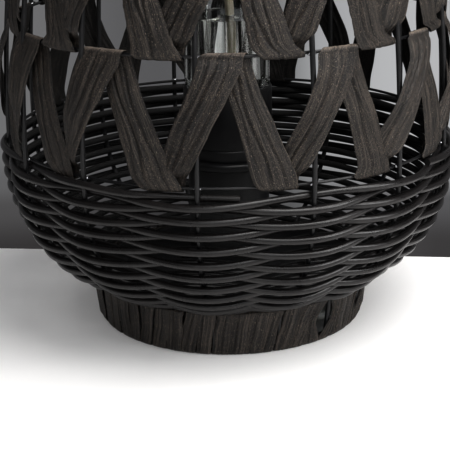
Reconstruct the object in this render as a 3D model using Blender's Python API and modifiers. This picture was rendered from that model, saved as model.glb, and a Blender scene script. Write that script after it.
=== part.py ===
"""Woven table torch: a raffia and cane basket lantern around a glass lamp-oil jar.

The basket stands on its foot with +Z up and its axis on Z.  Its origin is the centre of the
foot's bottom face, and its front faces -Y.  All lengths are in metres.
"""

import math

import bmesh
import bpy

# Frame wires and canes
STAKE_COUNT = 14
STAKE_TURN = math.radians(-7.25)      # angle of the first stake from the front
# How far each hand-set stake stands from even spacing, in degrees, round from the first
STAKE_SHIFTS = (0.0, 1.3, 0.3, 0.0, 0.4, 0.0, 0.5, -0.3, -2.2, -3.5, 0.6, -0.5, -1.1, -3.0)
STAKE_R = 0.0021
RING_R = 0.0013
STRAND_R = 0.0024
TOUCH_GAP = 0.00025                   # clearance kept between touching pieces
RING_STEPS_PER_GAP = 3
FOOT_RING_STEPS_PER_GAP = 2

# Basket outline: ring heights and radii
LOWER_RING_Z = 0.1693
LOWER_RING_RADIUS = 0.189
TIER_HEIGHT = 0.1001
OVAL_HALF_HEIGHT = 0.4505             # of the oval that the upper basket follows
TIER_COUNT = 3

# Bowl between the foot and the lower ring
BOWL_FOOT_Z = 0.0443
BOWL_FOOT_RADIUS = 0.1205
BOWL_SWELL = 2.6
BOWL_FLATNESS = 0.8
BOWL_SHARES = (0.01, 0.04, 0.09, 0.17, 0.28, 0.44, 0.68, 1.0)   # stake points up the bowl
ROW_COUNT = 20
FIRST_ROW_DROP = 0.0066               # along the wall, from the lower ring
FIRST_ROW_START = 2.5                 # the first row is a loose end, from and to these gaps
FIRST_ROW_END = 14.5
ROW_PITCH_TOP = 0.0054
ROW_PITCH_BOTTOM = 0.0084

# Foot
FOOT_BOTTOM_RADIUS = 0.1194
FOOT_TOP_RADIUS = 0.1249
FOOT_WRAP_HEIGHT = 0.0407
FOOT_WRAP_THICKNESS = 0.0012
FOOT_RING_BOTTOM_Z = 0.0030
FOOT_RING_TOP_Z = 0.0385
STAKE_FOOT_HEIGHTS = (0.0020, 0.0415)
WRAP_STEPS = 42

# Raffia bands
RAFFIA_THICKNESS = 0.0010
RAFFIA_OUTSIDE = 0.0034               # centre of the raffia outside a ring, from the ring's centre
RAFFIA_INSIDE = 0.0026
RAFFIA_OVER_STAKE = 0.0082

# Base plate, pedestal and jar holder
PLATE_RADIUS = 0.1150
PLATE_Z = 0.0392
PLATE_THICKNESS = 0.0020
PEDESTAL_RADIUS = 0.0360
PEDESTAL_WALL = 0.0015
PEDESTAL_TOP_Z = 0.1380
PEDESTAL_FLANGE_RADIUS = 0.0480
COLLAR_RADIUS = 0.0460
COLLAR_THICKNESS = 0.0070
HOLDER_RADIUS = 0.0390
HOLDER_TOP_Z = 0.2065
HOLDER_RECESS_RADIUS = 0.0362
HOLDER_RECESS_DEPTH = 0.0025
SEAM_Z = 0.1555
SCREW_COUNT = 3
SCREW_CIRCLE = 0.0420
SCREW_TURN = math.radians(20.0)
SCREW_R = 0.0020
SCREW_HOLE_R = 0.0024
SCREW_HEAD_R = 0.0038
SCREW_HEAD_HEIGHT = 0.0020
SCREW_LENGTH = 0.0070
PLATE_STEPS = 28

# Jar, oil and burner
JAR_RADIUS = 0.0370
JAR_WALL = 0.0025
JAR_BASE_THICKNESS = 0.0040
JAR_BODY_TOP_Z = 0.3000
JAR_NECK_RADIUS = 0.0240
JAR_MOUTH_Z = 0.3340
OIL_LEVEL_Z = 0.2680
WICK_RADIUS = 0.0050
WICK_BOTTOM_Z = 0.2175
WICK_TIP_Z = 0.3550
WICK_WELL_RADIUS = 0.0075
WICK_WELL_Z = 0.2125
GASKET_THICKNESS = 0.0017
CAP_SKIRT_RADIUS = 0.0275
CAP_SKIRT_HEIGHT = 0.0160
CAP_TOP_THICKNESS = 0.0024
TUBE_BORE_RADIUS = 0.0056
TUBE_WALL = 0.0010
TUBE_FLANGE_RADIUS = 0.0095
TUBE_FLANGE_THICKNESS = 0.0014
TUBE_TOP_Z = 0.3495
SNUFFER_RADIUS = 0.0132
SNUFFER_WALL = 0.0014
SNUFFER_TOP_Z = 0.3690
KNOB_RADIUS = 0.0060
KNOB_HEIGHT = 0.0100
TURNED_STEPS = 24

STAKE_OFFSET = RING_R + TOUCH_GAP + STAKE_R      # a stake's centre outside its ring's centre
WEAVE_SWING = STAKE_R + TOUCH_GAP + STRAND_R     # a strand's centre from the stakes' circle
GAP_ANGLE = 2 * math.pi / STAKE_COUNT


# ---------------------------------------------------------------- scene helpers

def clear_scene():
    for obj in list(bpy.data.objects):
        bpy.data.objects.remove(obj, do_unlink=True)


def make_collection(name):
    collection = bpy.data.collections.new(name)
    bpy.context.scene.collection.children.link(collection)
    return collection


def make_material(name, colour, roughness, metallic=0.0, alpha=1.0):
    material = bpy.data.materials.new(name)
    material.use_nodes = True
    shader = material.node_tree.nodes["Principled BSDF"]
    shader.inputs["Base Color"].default_value = (*colour, 1.0)
    shader.inputs["Roughness"].default_value = roughness
    shader.inputs["Metallic"].default_value = metallic
    shader.inputs["Alpha"].default_value = alpha
    return material


def add_object(name, data, material, collection):
    obj = bpy.data.objects.new(name, data)
    collection.objects.link(obj)
    data.materials.append(material)
    return obj


def wire(name, points, radius, closed, material, collection):
    """A wire, cane or ring: a polyline curve with a four-sided bevel and filled caps."""
    curve = bpy.data.curves.new(name, "CURVE")
    curve.dimensions = "3D"
    curve.twist_mode = "Z_UP"
    curve.bevel_depth = radius
    curve.bevel_resolution = 0
    curve.use_fill_caps = True
    spline = curve.splines.new("POLY")
    spline.points.add(len(points) - 1)
    for spline_point, point in zip(spline.points, points):
        spline_point.co = (*point, 1.0)
    spline.use_cyclic_u = closed
    return add_object(name, curve, material, collection)


def turned(name, profile, closed, material, collection, steps=TURNED_STEPS):
    """A turned piece.  Its (radius, height) profile runs down the outer side."""
    mesh = bpy.data.meshes.new(name)
    shape = bmesh.new()
    corners = [shape.verts.new((radius, 0.0, height)) for radius, height in profile]
    for first, second in zip(corners, corners[1:]):
        shape.edges.new((first, second))
    if closed:
        shape.edges.new((corners[-1], corners[0]))
    shape.to_mesh(mesh)
    shape.free()
    obj = add_object(name, mesh, material, collection)
    screw = obj.modifiers.new("Turn", "SCREW")
    screw.axis = "Z"
    screw.angle = 2 * math.pi
    screw.steps = steps
    screw.render_steps = steps
    screw.use_merge_vertices = True
    screw.merge_threshold = 0.00001
    screw.use_smooth_shade = True
    return obj


def polar(radius, angle, height):
    """A point at an angle from the front (-Y), positive towards +X."""
    return (radius * math.sin(angle), -radius * math.cos(angle), height)


def gap_angle(place):
    """The angle of a place counted in gaps between stakes, whole numbers being the stakes."""
    stake = math.floor(place)
    share = place - stake
    shift = STAKE_SHIFTS[stake % STAKE_COUNT]
    next_shift = STAKE_SHIFTS[(stake + 1) % STAKE_COUNT]
    return STAKE_TURN + place * GAP_ANGLE + math.radians(shift + share * (next_shift - shift))


# ---------------------------------------------------------------- basket outline

def ring_height(index):
    return LOWER_RING_Z + index * TIER_HEIGHT


def ring_radius(height):
    """Radius of the rings' circle on the oval above the lower ring."""
    rise = (height - LOWER_RING_Z) / OVAL_HALF_HEIGHT
    return LOWER_RING_RADIUS * math.sqrt(1.0 - rise * rise)


def bowl_radius(height):
    """Radius of the stakes' circle between the foot and the lower ring."""
    share = (height - BOWL_FOOT_Z) / (LOWER_RING_Z - BOWL_FOOT_Z)
    swell = (1.0 - (1.0 - share) ** BOWL_SWELL) ** BOWL_FLATNESS
    top = LOWER_RING_RADIUS + STAKE_OFFSET
    return BOWL_FOOT_RADIUS + (top - BOWL_FOOT_RADIUS) * swell


def foot_stake_radius(height):
    """Radius of the stakes' circle inside the foot."""
    outer = FOOT_BOTTOM_RADIUS + (FOOT_TOP_RADIUS - FOOT_BOTTOM_RADIUS) * height / FOOT_WRAP_HEIGHT
    return outer - FOOT_WRAP_THICKNESS - 2 * TOUCH_GAP - STAKE_R


def stake_outline():
    """The stakes' centre line, as (radius, height) from the foot to the rim."""
    outline = [(foot_stake_radius(height), height) for height in STAKE_FOOT_HEIGHTS]
    for share in BOWL_SHARES:
        height = BOWL_FOOT_Z + share * (LOWER_RING_Z - BOWL_FOOT_Z)
        outline.append((bowl_radius(height), height))
    for tier in range(TIER_COUNT):
        for share in (0.5, 1.0):
            height = ring_height(tier + share)
            outline.append((ring_radius(height) + STAKE_OFFSET, height))
    rim_radius, rim_height = outline[-1]
    outline[-1] = (rim_radius, rim_height + RING_R)
    return outline


def row_places():
    """Each woven row's (radius, height, lean) on the stakes' circle, down from the lower ring.

    The lean is the angle between the wall and the vertical.
    """
    first_bowl_point = len(STAKE_FOOT_HEIGHTS)
    bowl = stake_outline()[first_bowl_point:first_bowl_point + len(BOWL_SHARES)][::-1]
    places = []
    target = FIRST_ROW_DROP
    travelled = 0.0
    for (radius, height), (next_radius, next_height) in zip(bowl, bowl[1:]):
        run = math.hypot(next_radius - radius, next_height - height)
        lean = math.atan2(radius - next_radius, height - next_height)
        while target <= travelled + run and len(places) < ROW_COUNT:
            share = (target - travelled) / run
            places.append((radius + share * (next_radius - radius),
                           height + share * (next_height - height), lean))
            progress = len(places) / ROW_COUNT
            target += ROW_PITCH_TOP + (ROW_PITCH_BOTTOM - ROW_PITCH_TOP) * progress
        travelled += run
    return places


# ---------------------------------------------------------------- basket pieces

def make_stakes(material, collection):
    for index in range(STAKE_COUNT):
        path = [polar(radius, gap_angle(index), height) for radius, height in stake_outline()]
        wire(f"stake_{index + 1:02d}", path, STAKE_R, False, material, collection)


def make_ring(name, radius, height, steps_per_gap, material, collection):
    steps = range(STAKE_COUNT * steps_per_gap)
    path = [polar(radius, gap_angle(step / steps_per_gap), height) for step in steps]
    wire(name, path, RING_R, True, material, collection)


def make_rings(material, collection):
    for name, height in (("foot_ring_bottom", FOOT_RING_BOTTOM_Z), ("foot_ring_top", FOOT_RING_TOP_Z)):
        radius = foot_stake_radius(height) - STAKE_OFFSET
        make_ring(name, radius, height, FOOT_RING_STEPS_PER_GAP, material, collection)
    for tier, name in enumerate(("ring_lower", "ring_middle", "ring_upper", "ring_rim")):
        height = ring_height(tier)
        make_ring(name, ring_radius(height), height, RING_STEPS_PER_GAP, material, collection)


def make_strands(material, collection):
    """Each row is one cane that passes outside one stake and inside the next.

    The first row stops short of a full turn, and the others are closed rings.
    """
    first_row = range(round(2 * FIRST_ROW_START), round(2 * FIRST_ROW_END) + 1)
    full_turn = range(2 * STAKE_COUNT)
    for row, (radius, height, lean) in enumerate(row_places()):
        side = -1 if row % 2 == 0 else 1
        path = []
        for half_gap in full_turn if row else first_row:
            swing = side * WEAVE_SWING * math.cos(math.pi * half_gap / 2)
            path.append(polar(radius + swing * math.cos(lean), gap_angle(half_gap / 2),
                              height - swing * math.sin(lean)))
        wire(f"weave_strand_{row + 1:02d}", path, STRAND_R, row > 0, material, collection)


def raffia_stations(lower, upper):
    """One zigzag of the raffia around two rings.

    Each station is (left, right, radius, height, lean): left and right are shares of the gap
    between two stakes, and lean is the direction of the raffia's face from level to upright.
    """
    low = ring_radius(lower)
    high = ring_radius(upper)
    span = upper - lower

    def wall(height):
        return ring_radius(height)

    level = 0.0
    return [
        (0.475, 0.860, low + RAFFIA_OUTSIDE, lower, level),
        (0.530, 0.870, low, lower - RAFFIA_OUTSIDE, -90.0),
        (0.600, 0.860, low - RAFFIA_INSIDE, lower, 180.0),
        (0.620, 0.880, low - RAFFIA_INSIDE, lower + 0.06 * span, 180.0),
        (0.660, 0.950, wall(lower + 0.17 * span) + RAFFIA_OVER_STAKE, lower + 0.17 * span, 180.0),
        (1.035, 1.420, wall(upper - 0.11 * span) + RAFFIA_OVER_STAKE, upper - 0.11 * span, 180.0),
        (1.040, 1.440, high + RAFFIA_OUTSIDE, upper, 180.0),
        (1.110, 1.450, high, upper + RAFFIA_OUTSIDE, -90.0),
        (1.200, 1.490, high - RAFFIA_INSIDE, upper, level),
        (1.360, 1.670, wall(lower + 0.5 * span) + RAFFIA_OUTSIDE, lower + 0.5 * span, level),
    ]


def make_raffia(name, lower, upper, material, collection):
    """A raffia band: one flat ribbon wound in a closed zigzag around two rings."""
    shape = bmesh.new()
    sections = []
    for gap in range(STAKE_COUNT):
        for left, right, radius, height, lean in raffia_stations(lower, upper):
            turn = math.radians(lean)
            out = 0.5 * RAFFIA_THICKNESS * math.cos(turn)
            rise = 0.5 * RAFFIA_THICKNESS * math.sin(turn)
            corners = []
            for share, side in ((left, 1), (right, 1), (right, -1), (left, -1)):
                point = polar(radius + side * out, gap_angle(gap + share), height + side * rise)
                corners.append(shape.verts.new(point))
            sections.append(corners)
    for index, section in enumerate(sections):
        following = sections[(index + 1) % len(sections)]
        for corner in range(4):
            next_corner = (corner + 1) % 4
            shape.faces.new((section[corner], following[corner],
                             following[next_corner], section[next_corner]))
    bmesh.ops.triangulate(shape, faces=shape.faces[:])
    mesh = bpy.data.meshes.new(name)
    shape.to_mesh(mesh)
    shape.free()
    return add_object(name, mesh, material, collection)


def make_foot_wrap(material, collection):
    """The wrapped foot: a flared sleeve outside the stakes, folded in under the bottom ring."""
    inner_bottom = FOOT_BOTTOM_RADIUS - FOOT_WRAP_THICKNESS
    inner_top = FOOT_TOP_RADIUS - FOOT_WRAP_THICKNESS
    fold = 0.0110
    profile = [
        (inner_top, FOOT_WRAP_HEIGHT),
        (FOOT_TOP_RADIUS, FOOT_WRAP_HEIGHT),
        (FOOT_BOTTOM_RADIUS, 0.0),
        (FOOT_BOTTOM_RADIUS - fold, 0.0),
        (FOOT_BOTTOM_RADIUS - fold, FOOT_WRAP_THICKNESS),
        (inner_bottom, FOOT_WRAP_THICKNESS),
    ]
    wrap = turned("foot_wrap", profile, True, material, collection, WRAP_STEPS)
    wrap.rotation_euler.z = STAKE_TURN - math.pi / 2      # its corners face the stakes


# ---------------------------------------------------------------- pedestal and holder

def screw_places():
    for index in range(SCREW_COUNT):
        yield index, SCREW_TURN + 2 * math.pi * index / SCREW_COUNT


def make_hole_cutters(collection):
    cutters = []
    for index, angle in screw_places():
        bpy.ops.mesh.primitive_cylinder_add(
            vertices=8, radius=SCREW_HOLE_R, depth=0.02,
            location=polar(SCREW_CIRCLE, angle, PLATE_Z + PLATE_THICKNESS))
        cutter = bpy.context.object
        cutter.name = f"hole_cutter_{index + 1}"
        for owner in list(cutter.users_collection):
            owner.objects.unlink(cutter)
        collection.objects.link(cutter)
        cutter.hide_render = True
        cutter.display_type = "WIRE"
        cutters.append(cutter)
    return cutters


def cut_holes(obj, cutters):
    for cutter in cutters:
        cut = obj.modifiers.new(cutter.name, "BOOLEAN")
        cut.operation = "DIFFERENCE"
        cut.solver = "EXACT"
        cut.object = cutter


def make_pedestal(metal, cutters, collection):
    plate_top = PLATE_Z + PLATE_THICKNESS
    profile = [(0.0, plate_top), (PLATE_RADIUS, plate_top), (PLATE_RADIUS, PLATE_Z), (0.0, PLATE_Z)]
    plate = turned("base_plate", profile, False, metal, collection, PLATE_STEPS)
    cut_holes(plate, cutters)

    flange_z = plate_top + TOUCH_GAP
    bore = PEDESTAL_RADIUS - PEDESTAL_WALL
    profile = [
        (PEDESTAL_RADIUS, PEDESTAL_TOP_Z),
        (PEDESTAL_RADIUS, flange_z + PEDESTAL_WALL),
        (PEDESTAL_FLANGE_RADIUS, flange_z + PEDESTAL_WALL),
        (PEDESTAL_FLANGE_RADIUS, flange_z),
        (bore, flange_z),
        (bore, PEDESTAL_TOP_Z),
    ]
    pedestal = turned("pedestal_tube", profile, True, metal, collection)
    cut_holes(pedestal, cutters)

    collar_z = PEDESTAL_TOP_Z + TOUCH_GAP
    collar_top = collar_z + COLLAR_THICKNESS
    plug = bore - 2 * TOUCH_GAP
    boss = HOLDER_RADIUS - PEDESTAL_WALL - 2 * TOUCH_GAP
    profile = [
        (0.0, collar_top + 0.0040),
        (boss, collar_top + 0.0040),
        (boss, collar_top),
        (COLLAR_RADIUS - 0.0030, collar_top),
        (COLLAR_RADIUS, collar_top - 0.0020),
        (COLLAR_RADIUS, collar_z + 0.0010),
        (COLLAR_RADIUS - 0.0010, collar_z),
        (plug, collar_z),
        (plug, collar_z - 0.0060),
        (0.0, collar_z - 0.0060),
    ]
    turned("pedestal_collar", profile, False, metal, collection)

    holder_z = collar_top + TOUCH_GAP
    inner = HOLDER_RADIUS - PEDESTAL_WALL
    floor_z = HOLDER_TOP_Z - HOLDER_RECESS_DEPTH
    profile = [
        (0.0, floor_z),
        (HOLDER_RECESS_RADIUS, floor_z),
        (HOLDER_RECESS_RADIUS, HOLDER_TOP_Z),
        (HOLDER_RADIUS - 0.0020, HOLDER_TOP_Z),
        (HOLDER_RADIUS - 0.0006, HOLDER_TOP_Z - 0.0010),
        (HOLDER_RADIUS, HOLDER_TOP_Z - 0.0035),
        (HOLDER_RADIUS, SEAM_Z + 0.0006),
        (HOLDER_RADIUS - 0.0005, SEAM_Z),
        (HOLDER_RADIUS, SEAM_Z - 0.0006),
        (HOLDER_RADIUS, holder_z),
        (inner, holder_z),
        (inner, floor_z - 0.0040),
        (inner - 0.0025, floor_z - 0.0020),
        (0.0, floor_z - 0.0020),
    ]
    turned("jar_holder", profile, False, metal, collection)


def make_screws(material, collection):
    head_z = PLATE_Z + PLATE_THICKNESS + PEDESTAL_WALL + 2 * TOUCH_GAP
    profile = [
        (0.0, SCREW_HEAD_HEIGHT),
        (SCREW_HEAD_R * 0.6, SCREW_HEAD_HEIGHT),
        (SCREW_HEAD_R, SCREW_HEAD_HEIGHT * 0.4),
        (SCREW_HEAD_R, 0.0),
        (SCREW_R, 0.0),
        (SCREW_R, -SCREW_LENGTH),
        (0.0, -SCREW_LENGTH),
    ]
    for index, angle in screw_places():
        screw = turned(f"plate_screw_{index + 1}", profile, False, material, collection, 8)
        screw.location = polar(SCREW_CIRCLE, angle, head_z)


# ---------------------------------------------------------------- jar and burner

def make_jar(glass, oil, collection):
    bottom = HOLDER_TOP_Z - HOLDER_RECESS_DEPTH + TOUCH_GAP
    inner = JAR_RADIUS - JAR_WALL
    neck_inner = JAR_NECK_RADIUS - JAR_WALL
    shoulder_z = JAR_BODY_TOP_Z + 0.0150
    floor_z = bottom + JAR_BASE_THICKNESS
    profile = [
        (neck_inner, JAR_MOUTH_Z),
        (JAR_NECK_RADIUS, JAR_MOUTH_Z),
        (JAR_NECK_RADIUS, shoulder_z),
        (JAR_RADIUS - 0.0060, JAR_BODY_TOP_Z + 0.0080),
        (JAR_RADIUS - 0.0010, JAR_BODY_TOP_Z + 0.0030),
        (JAR_RADIUS, JAR_BODY_TOP_Z - 0.0020),
        (JAR_RADIUS, bottom + 0.0055),
        (JAR_RADIUS - 0.0010, bottom + 0.0025),
        (JAR_RADIUS - 0.0040, bottom),
        (0.0, bottom),
    ]
    inside = [
        (0.0, floor_z),
        (inner - 0.0015, floor_z),
        (inner, floor_z + 0.0015),
        (inner, JAR_BODY_TOP_Z - 0.0020),
        (inner - 0.0050, JAR_BODY_TOP_Z + 0.0060),
        (neck_inner, shoulder_z - 0.0020),
    ]
    turned("fuel_jar", inside + profile, False, glass, collection, 28)

    fit = inner - TOUCH_GAP
    base = floor_z + TOUCH_GAP
    profile = [
        (WICK_WELL_RADIUS, OIL_LEVEL_Z),
        (fit, OIL_LEVEL_Z),
        (fit, base + 0.0018),
        (fit - 0.0016, base),
        (0.0, base),
    ]
    well = [(0.0, WICK_WELL_Z), (WICK_WELL_RADIUS, WICK_WELL_Z)]
    turned("lamp_oil", well + profile, False, oil, collection)


def make_burner(metal, rubber, fibre, collection):
    gasket_z = JAR_MOUTH_Z + TOUCH_GAP
    gasket_top = gasket_z + GASKET_THICKNESS
    gasket_inner = JAR_NECK_RADIUS - 0.0045
    profile = [
        (JAR_NECK_RADIUS - 0.0002, gasket_top),
        (JAR_NECK_RADIUS - 0.0002, gasket_z),
        (gasket_inner, gasket_z),
        (gasket_inner, gasket_top),
    ]
    turned("jar_gasket", profile, True, rubber, collection)

    under = gasket_top + TOUCH_GAP
    cap_top = under + CAP_TOP_THICKNESS
    skirt_inner = JAR_NECK_RADIUS + 2 * TOUCH_GAP
    tube_outer = TUBE_BORE_RADIUS + TUBE_WALL
    hole = tube_outer + TOUCH_GAP
    profile = [
        (hole, cap_top),
        (CAP_SKIRT_RADIUS - 0.0015, cap_top),
        (CAP_SKIRT_RADIUS, cap_top - 0.0015),
        (CAP_SKIRT_RADIUS, under - CAP_SKIRT_HEIGHT),
        (skirt_inner, under - CAP_SKIRT_HEIGHT),
        (skirt_inner, under),
        (hole, under),
    ]
    turned("burner_cap", profile, True, metal, collection)

    flange_z = cap_top + TOUCH_GAP
    flange_top = flange_z + TUBE_FLANGE_THICKNESS
    profile = [
        (TUBE_BORE_RADIUS, TUBE_TOP_Z),
        (tube_outer, TUBE_TOP_Z),
        (tube_outer, flange_top),
        (TUBE_FLANGE_RADIUS, flange_top),
        (TUBE_FLANGE_RADIUS, flange_z),
        (tube_outer, flange_z),
        (tube_outer, under - 0.0150),
        (TUBE_BORE_RADIUS, under - 0.0150),
    ]
    turned("wick_tube", profile, True, metal, collection, 16)

    profile = [
        (0.0, WICK_TIP_Z),
        (WICK_RADIUS * 0.8, WICK_TIP_Z),
        (WICK_RADIUS, WICK_TIP_Z - 0.0010),
        (WICK_RADIUS, WICK_BOTTOM_Z),
        (0.0, WICK_BOTTOM_Z),
    ]
    turned("wick", profile, False, fibre, collection, 12)

    inner = SNUFFER_RADIUS - SNUFFER_WALL
    inner_top = SNUFFER_TOP_Z - SNUFFER_WALL
    seat = cap_top + TOUCH_GAP
    profile = [
        (0.0, SNUFFER_TOP_Z),
        (SNUFFER_RADIUS - 0.0060, SNUFFER_TOP_Z),
        (SNUFFER_RADIUS - 0.0016, SNUFFER_TOP_Z - 0.0030),
        (SNUFFER_RADIUS, SNUFFER_TOP_Z - 0.0075),
        (SNUFFER_RADIUS, seat),
        (inner, seat),
        (inner, inner_top - 0.0075),
        (inner - 0.0020, inner_top - 0.0030),
        (inner - 0.0050, inner_top),
        (0.0, inner_top),
    ]
    turned("snuffer_cap", profile, False, metal, collection, 20)

    knob_z = SNUFFER_TOP_Z + TOUCH_GAP
    profile = [
        (0.0, knob_z + KNOB_HEIGHT),
        (KNOB_RADIUS * 0.7, knob_z + KNOB_HEIGHT),
        (KNOB_RADIUS, knob_z + KNOB_HEIGHT * 0.75),
        (KNOB_RADIUS * 0.8, knob_z + KNOB_HEIGHT * 0.45),
        (KNOB_RADIUS * 0.5, knob_z + KNOB_HEIGHT * 0.25),
        (KNOB_RADIUS * 0.6, knob_z),
        (0.0, knob_z),
    ]
    turned("snuffer_knob", profile, False, metal, collection, 12)


def main():
    clear_scene()
    parts = make_collection("woven_torch")
    cutter_collection = make_collection("cutters")
    cane = make_material("cane", (0.035, 0.034, 0.036), 0.42)
    steel = make_material("black_steel", (0.030, 0.030, 0.032), 0.45, 0.6)
    raffia = make_material("raffia", (0.060, 0.052, 0.046), 0.65)
    glass = make_material("glass", (0.85, 0.87, 0.86), 0.03, alpha=0.35)
    oil = make_material("lamp_oil", (0.55, 0.52, 0.45), 0.05, alpha=0.4)
    rubber = make_material("rubber", (0.02, 0.02, 0.02), 0.7)
    fibre = make_material("wick_fibre", (0.55, 0.50, 0.40), 0.9)
    burner = make_material("burner_metal", (0.045, 0.045, 0.048), 0.35, 0.8)

    make_stakes(steel, parts)
    make_rings(steel, parts)
    make_strands(cane, parts)
    for tier, name in enumerate(("raffia_lower", "raffia_middle", "raffia_upper")):
        make_raffia(name, ring_height(tier), ring_height(tier + 1), raffia, parts)
    make_foot_wrap(raffia, parts)
    cutters = make_hole_cutters(cutter_collection)
    make_pedestal(steel, cutters, parts)
    make_screws(burner, parts)
    make_jar(glass, oil, parts)
    make_burner(burner, rubber, fibre, parts)


main()
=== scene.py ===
"""Looks of the woven table torch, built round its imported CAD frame.

Lengths are in metres, +Z is up and the front faces -Y.  Angles round the basket are measured
from the front, positive towards +X.  A place is counted in gaps between stakes, so that whole
numbers are the stakes.
"""

import math

import bmesh
import bpy
import numpy as np
from mathutils import Matrix, Vector


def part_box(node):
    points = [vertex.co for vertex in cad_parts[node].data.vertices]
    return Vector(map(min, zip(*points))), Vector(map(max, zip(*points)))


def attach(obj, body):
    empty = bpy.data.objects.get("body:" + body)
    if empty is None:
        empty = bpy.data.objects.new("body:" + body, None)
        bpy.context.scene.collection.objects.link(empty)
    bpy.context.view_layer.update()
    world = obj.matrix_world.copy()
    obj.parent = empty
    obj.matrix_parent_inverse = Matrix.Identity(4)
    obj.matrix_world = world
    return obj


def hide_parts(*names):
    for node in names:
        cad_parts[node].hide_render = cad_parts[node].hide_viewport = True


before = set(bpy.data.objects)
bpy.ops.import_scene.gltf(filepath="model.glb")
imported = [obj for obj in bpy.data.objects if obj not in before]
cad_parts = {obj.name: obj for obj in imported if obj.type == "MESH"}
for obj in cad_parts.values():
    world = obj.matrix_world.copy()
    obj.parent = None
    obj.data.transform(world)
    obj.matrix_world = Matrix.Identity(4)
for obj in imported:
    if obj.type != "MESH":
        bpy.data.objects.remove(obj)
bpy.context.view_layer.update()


# ---------------------------------------------------------------- the frame's places

def top(node):
    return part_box(node)[1].z


def bottom(node):
    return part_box(node)[0].z


def outer(node):
    """Outer radius of a turned node, whose first corner lies on +X."""
    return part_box(node)[1].x


def middle(node):
    low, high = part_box(node)
    return (low + high) / 2


STAKES = sorted(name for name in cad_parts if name.startswith("stake_"))
STRANDS = sorted(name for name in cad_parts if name.startswith("weave_strand_"))
SCREWS = sorted(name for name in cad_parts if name.startswith("plate_screw_"))
RINGS = ("ring_lower", "ring_middle", "ring_upper", "ring_rim")
FOOT_RINGS = ("foot_ring_bottom", "foot_ring_top")
TIERS = ("raffia_lower", "raffia_middle", "raffia_upper")
STAKE_COUNT = len(STAKES)
STAKE_ANGLES = np.unwrap([math.atan2(middle(name).x, -middle(name).y) for name in STAKES])
RING_HEIGHTS = [middle(name).z for name in RINGS]

# Wires as in the part, and canes
STAKE_R = 0.0021
RING_R = 0.0013
CANE_R = 0.00308                      # thicker than in the part, so that the canes touch
TOUCH_GAP = 0.00025
STAKE_OFFSET = RING_R + TOUCH_GAP + STAKE_R
WEAVE_SWING = 0.00492                 # a cane's centre from the stakes' circle
WEAVE_SAG = 0.0013                    # a front cane drops this much where it passes outside a stake

# Basket outline, as in the part
LOWER_RING_RADIUS = 0.189
OVAL_HALF_HEIGHT = 0.4505
BOWL_FOOT_Z = 0.0443
BOWL_FOOT_RADIUS = 0.1205
BOWL_SWELL = 2.6
BOWL_FLATNESS = 0.8
FIRST_ROW_DROP = 0.0066
ROW_PITCH_TOP = 0.0054
ROW_PITCH_BOTTOM = 0.0084
FOOT_BOTTOM_RADIUS = 0.1194
FOOT_TOP_RADIUS = 0.1249
FOOT_HEIGHT = top("foot_wrap")
FOOT_WALL = 0.0012

STEPS_PER_GAP = 14                    # points along a ring or a cane from one stake to the next
WIRE_SIDES = 12
CANE_SIDES = 14
TURNED_STEPS = 96
FINE_TURNED_STEPS = 128
SMALL_TURNED_STEPS = 72
FILLET_STEPS = 5
AXIS_R = 0.00005                      # where a turned skin's end stops short of the axis
UP = np.array([0.0, 0.0, 1.0])

SEED = 31


# ---------------------------------------------------------------- curves and skins

def polar(radius, angle, height):
    """Points at an angle from the front (-Y), positive towards +X."""
    radius, angle, height = np.broadcast_arrays(radius, angle, height)
    return np.stack([radius * np.sin(angle), -radius * np.cos(angle), height], -1)


def gap_angle(place):
    """The angle of a place counted in gaps between stakes."""
    turns = np.floor(np.asarray(place, float) / STAKE_COUNT)
    angles = [*STAKE_ANGLES, STAKE_ANGLES[0] + 2 * math.pi]
    return np.interp(place - turns * STAKE_COUNT, range(STAKE_COUNT + 1), angles) + 2 * math.pi * turns


def ring_radius(height):
    rise = (np.asarray(height) - RING_HEIGHTS[0]) / OVAL_HALF_HEIGHT
    return LOWER_RING_RADIUS * np.sqrt(1.0 - rise * rise)


def bowl_radius(height):
    share = np.clip((np.asarray(height) - BOWL_FOOT_Z) / (RING_HEIGHTS[0] - BOWL_FOOT_Z), 0.0, 1.0)
    swell = (1.0 - (1.0 - share) ** BOWL_SWELL) ** BOWL_FLATNESS
    return BOWL_FOOT_RADIUS + (LOWER_RING_RADIUS + STAKE_OFFSET - BOWL_FOOT_RADIUS) * swell


def foot_radius(height):
    """Outer radius of the foot wrap."""
    return FOOT_BOTTOM_RADIUS + (FOOT_TOP_RADIUS - FOOT_BOTTOM_RADIUS) * height / FOOT_HEIGHT


def foot_stake_radius(height):
    return foot_radius(height) - FOOT_WALL - 2 * TOUCH_GAP - STAKE_R


def wander(share, waves, strength, random):
    """A smooth seeded wander that repeats over 0 to 1."""
    total = np.zeros_like(np.asarray(share, float))
    for wave in waves:
        total += random.normal() * np.sin(2 * math.pi * (wave * share + random.random()))
    return strength * total / math.sqrt(len(waves))


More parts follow.
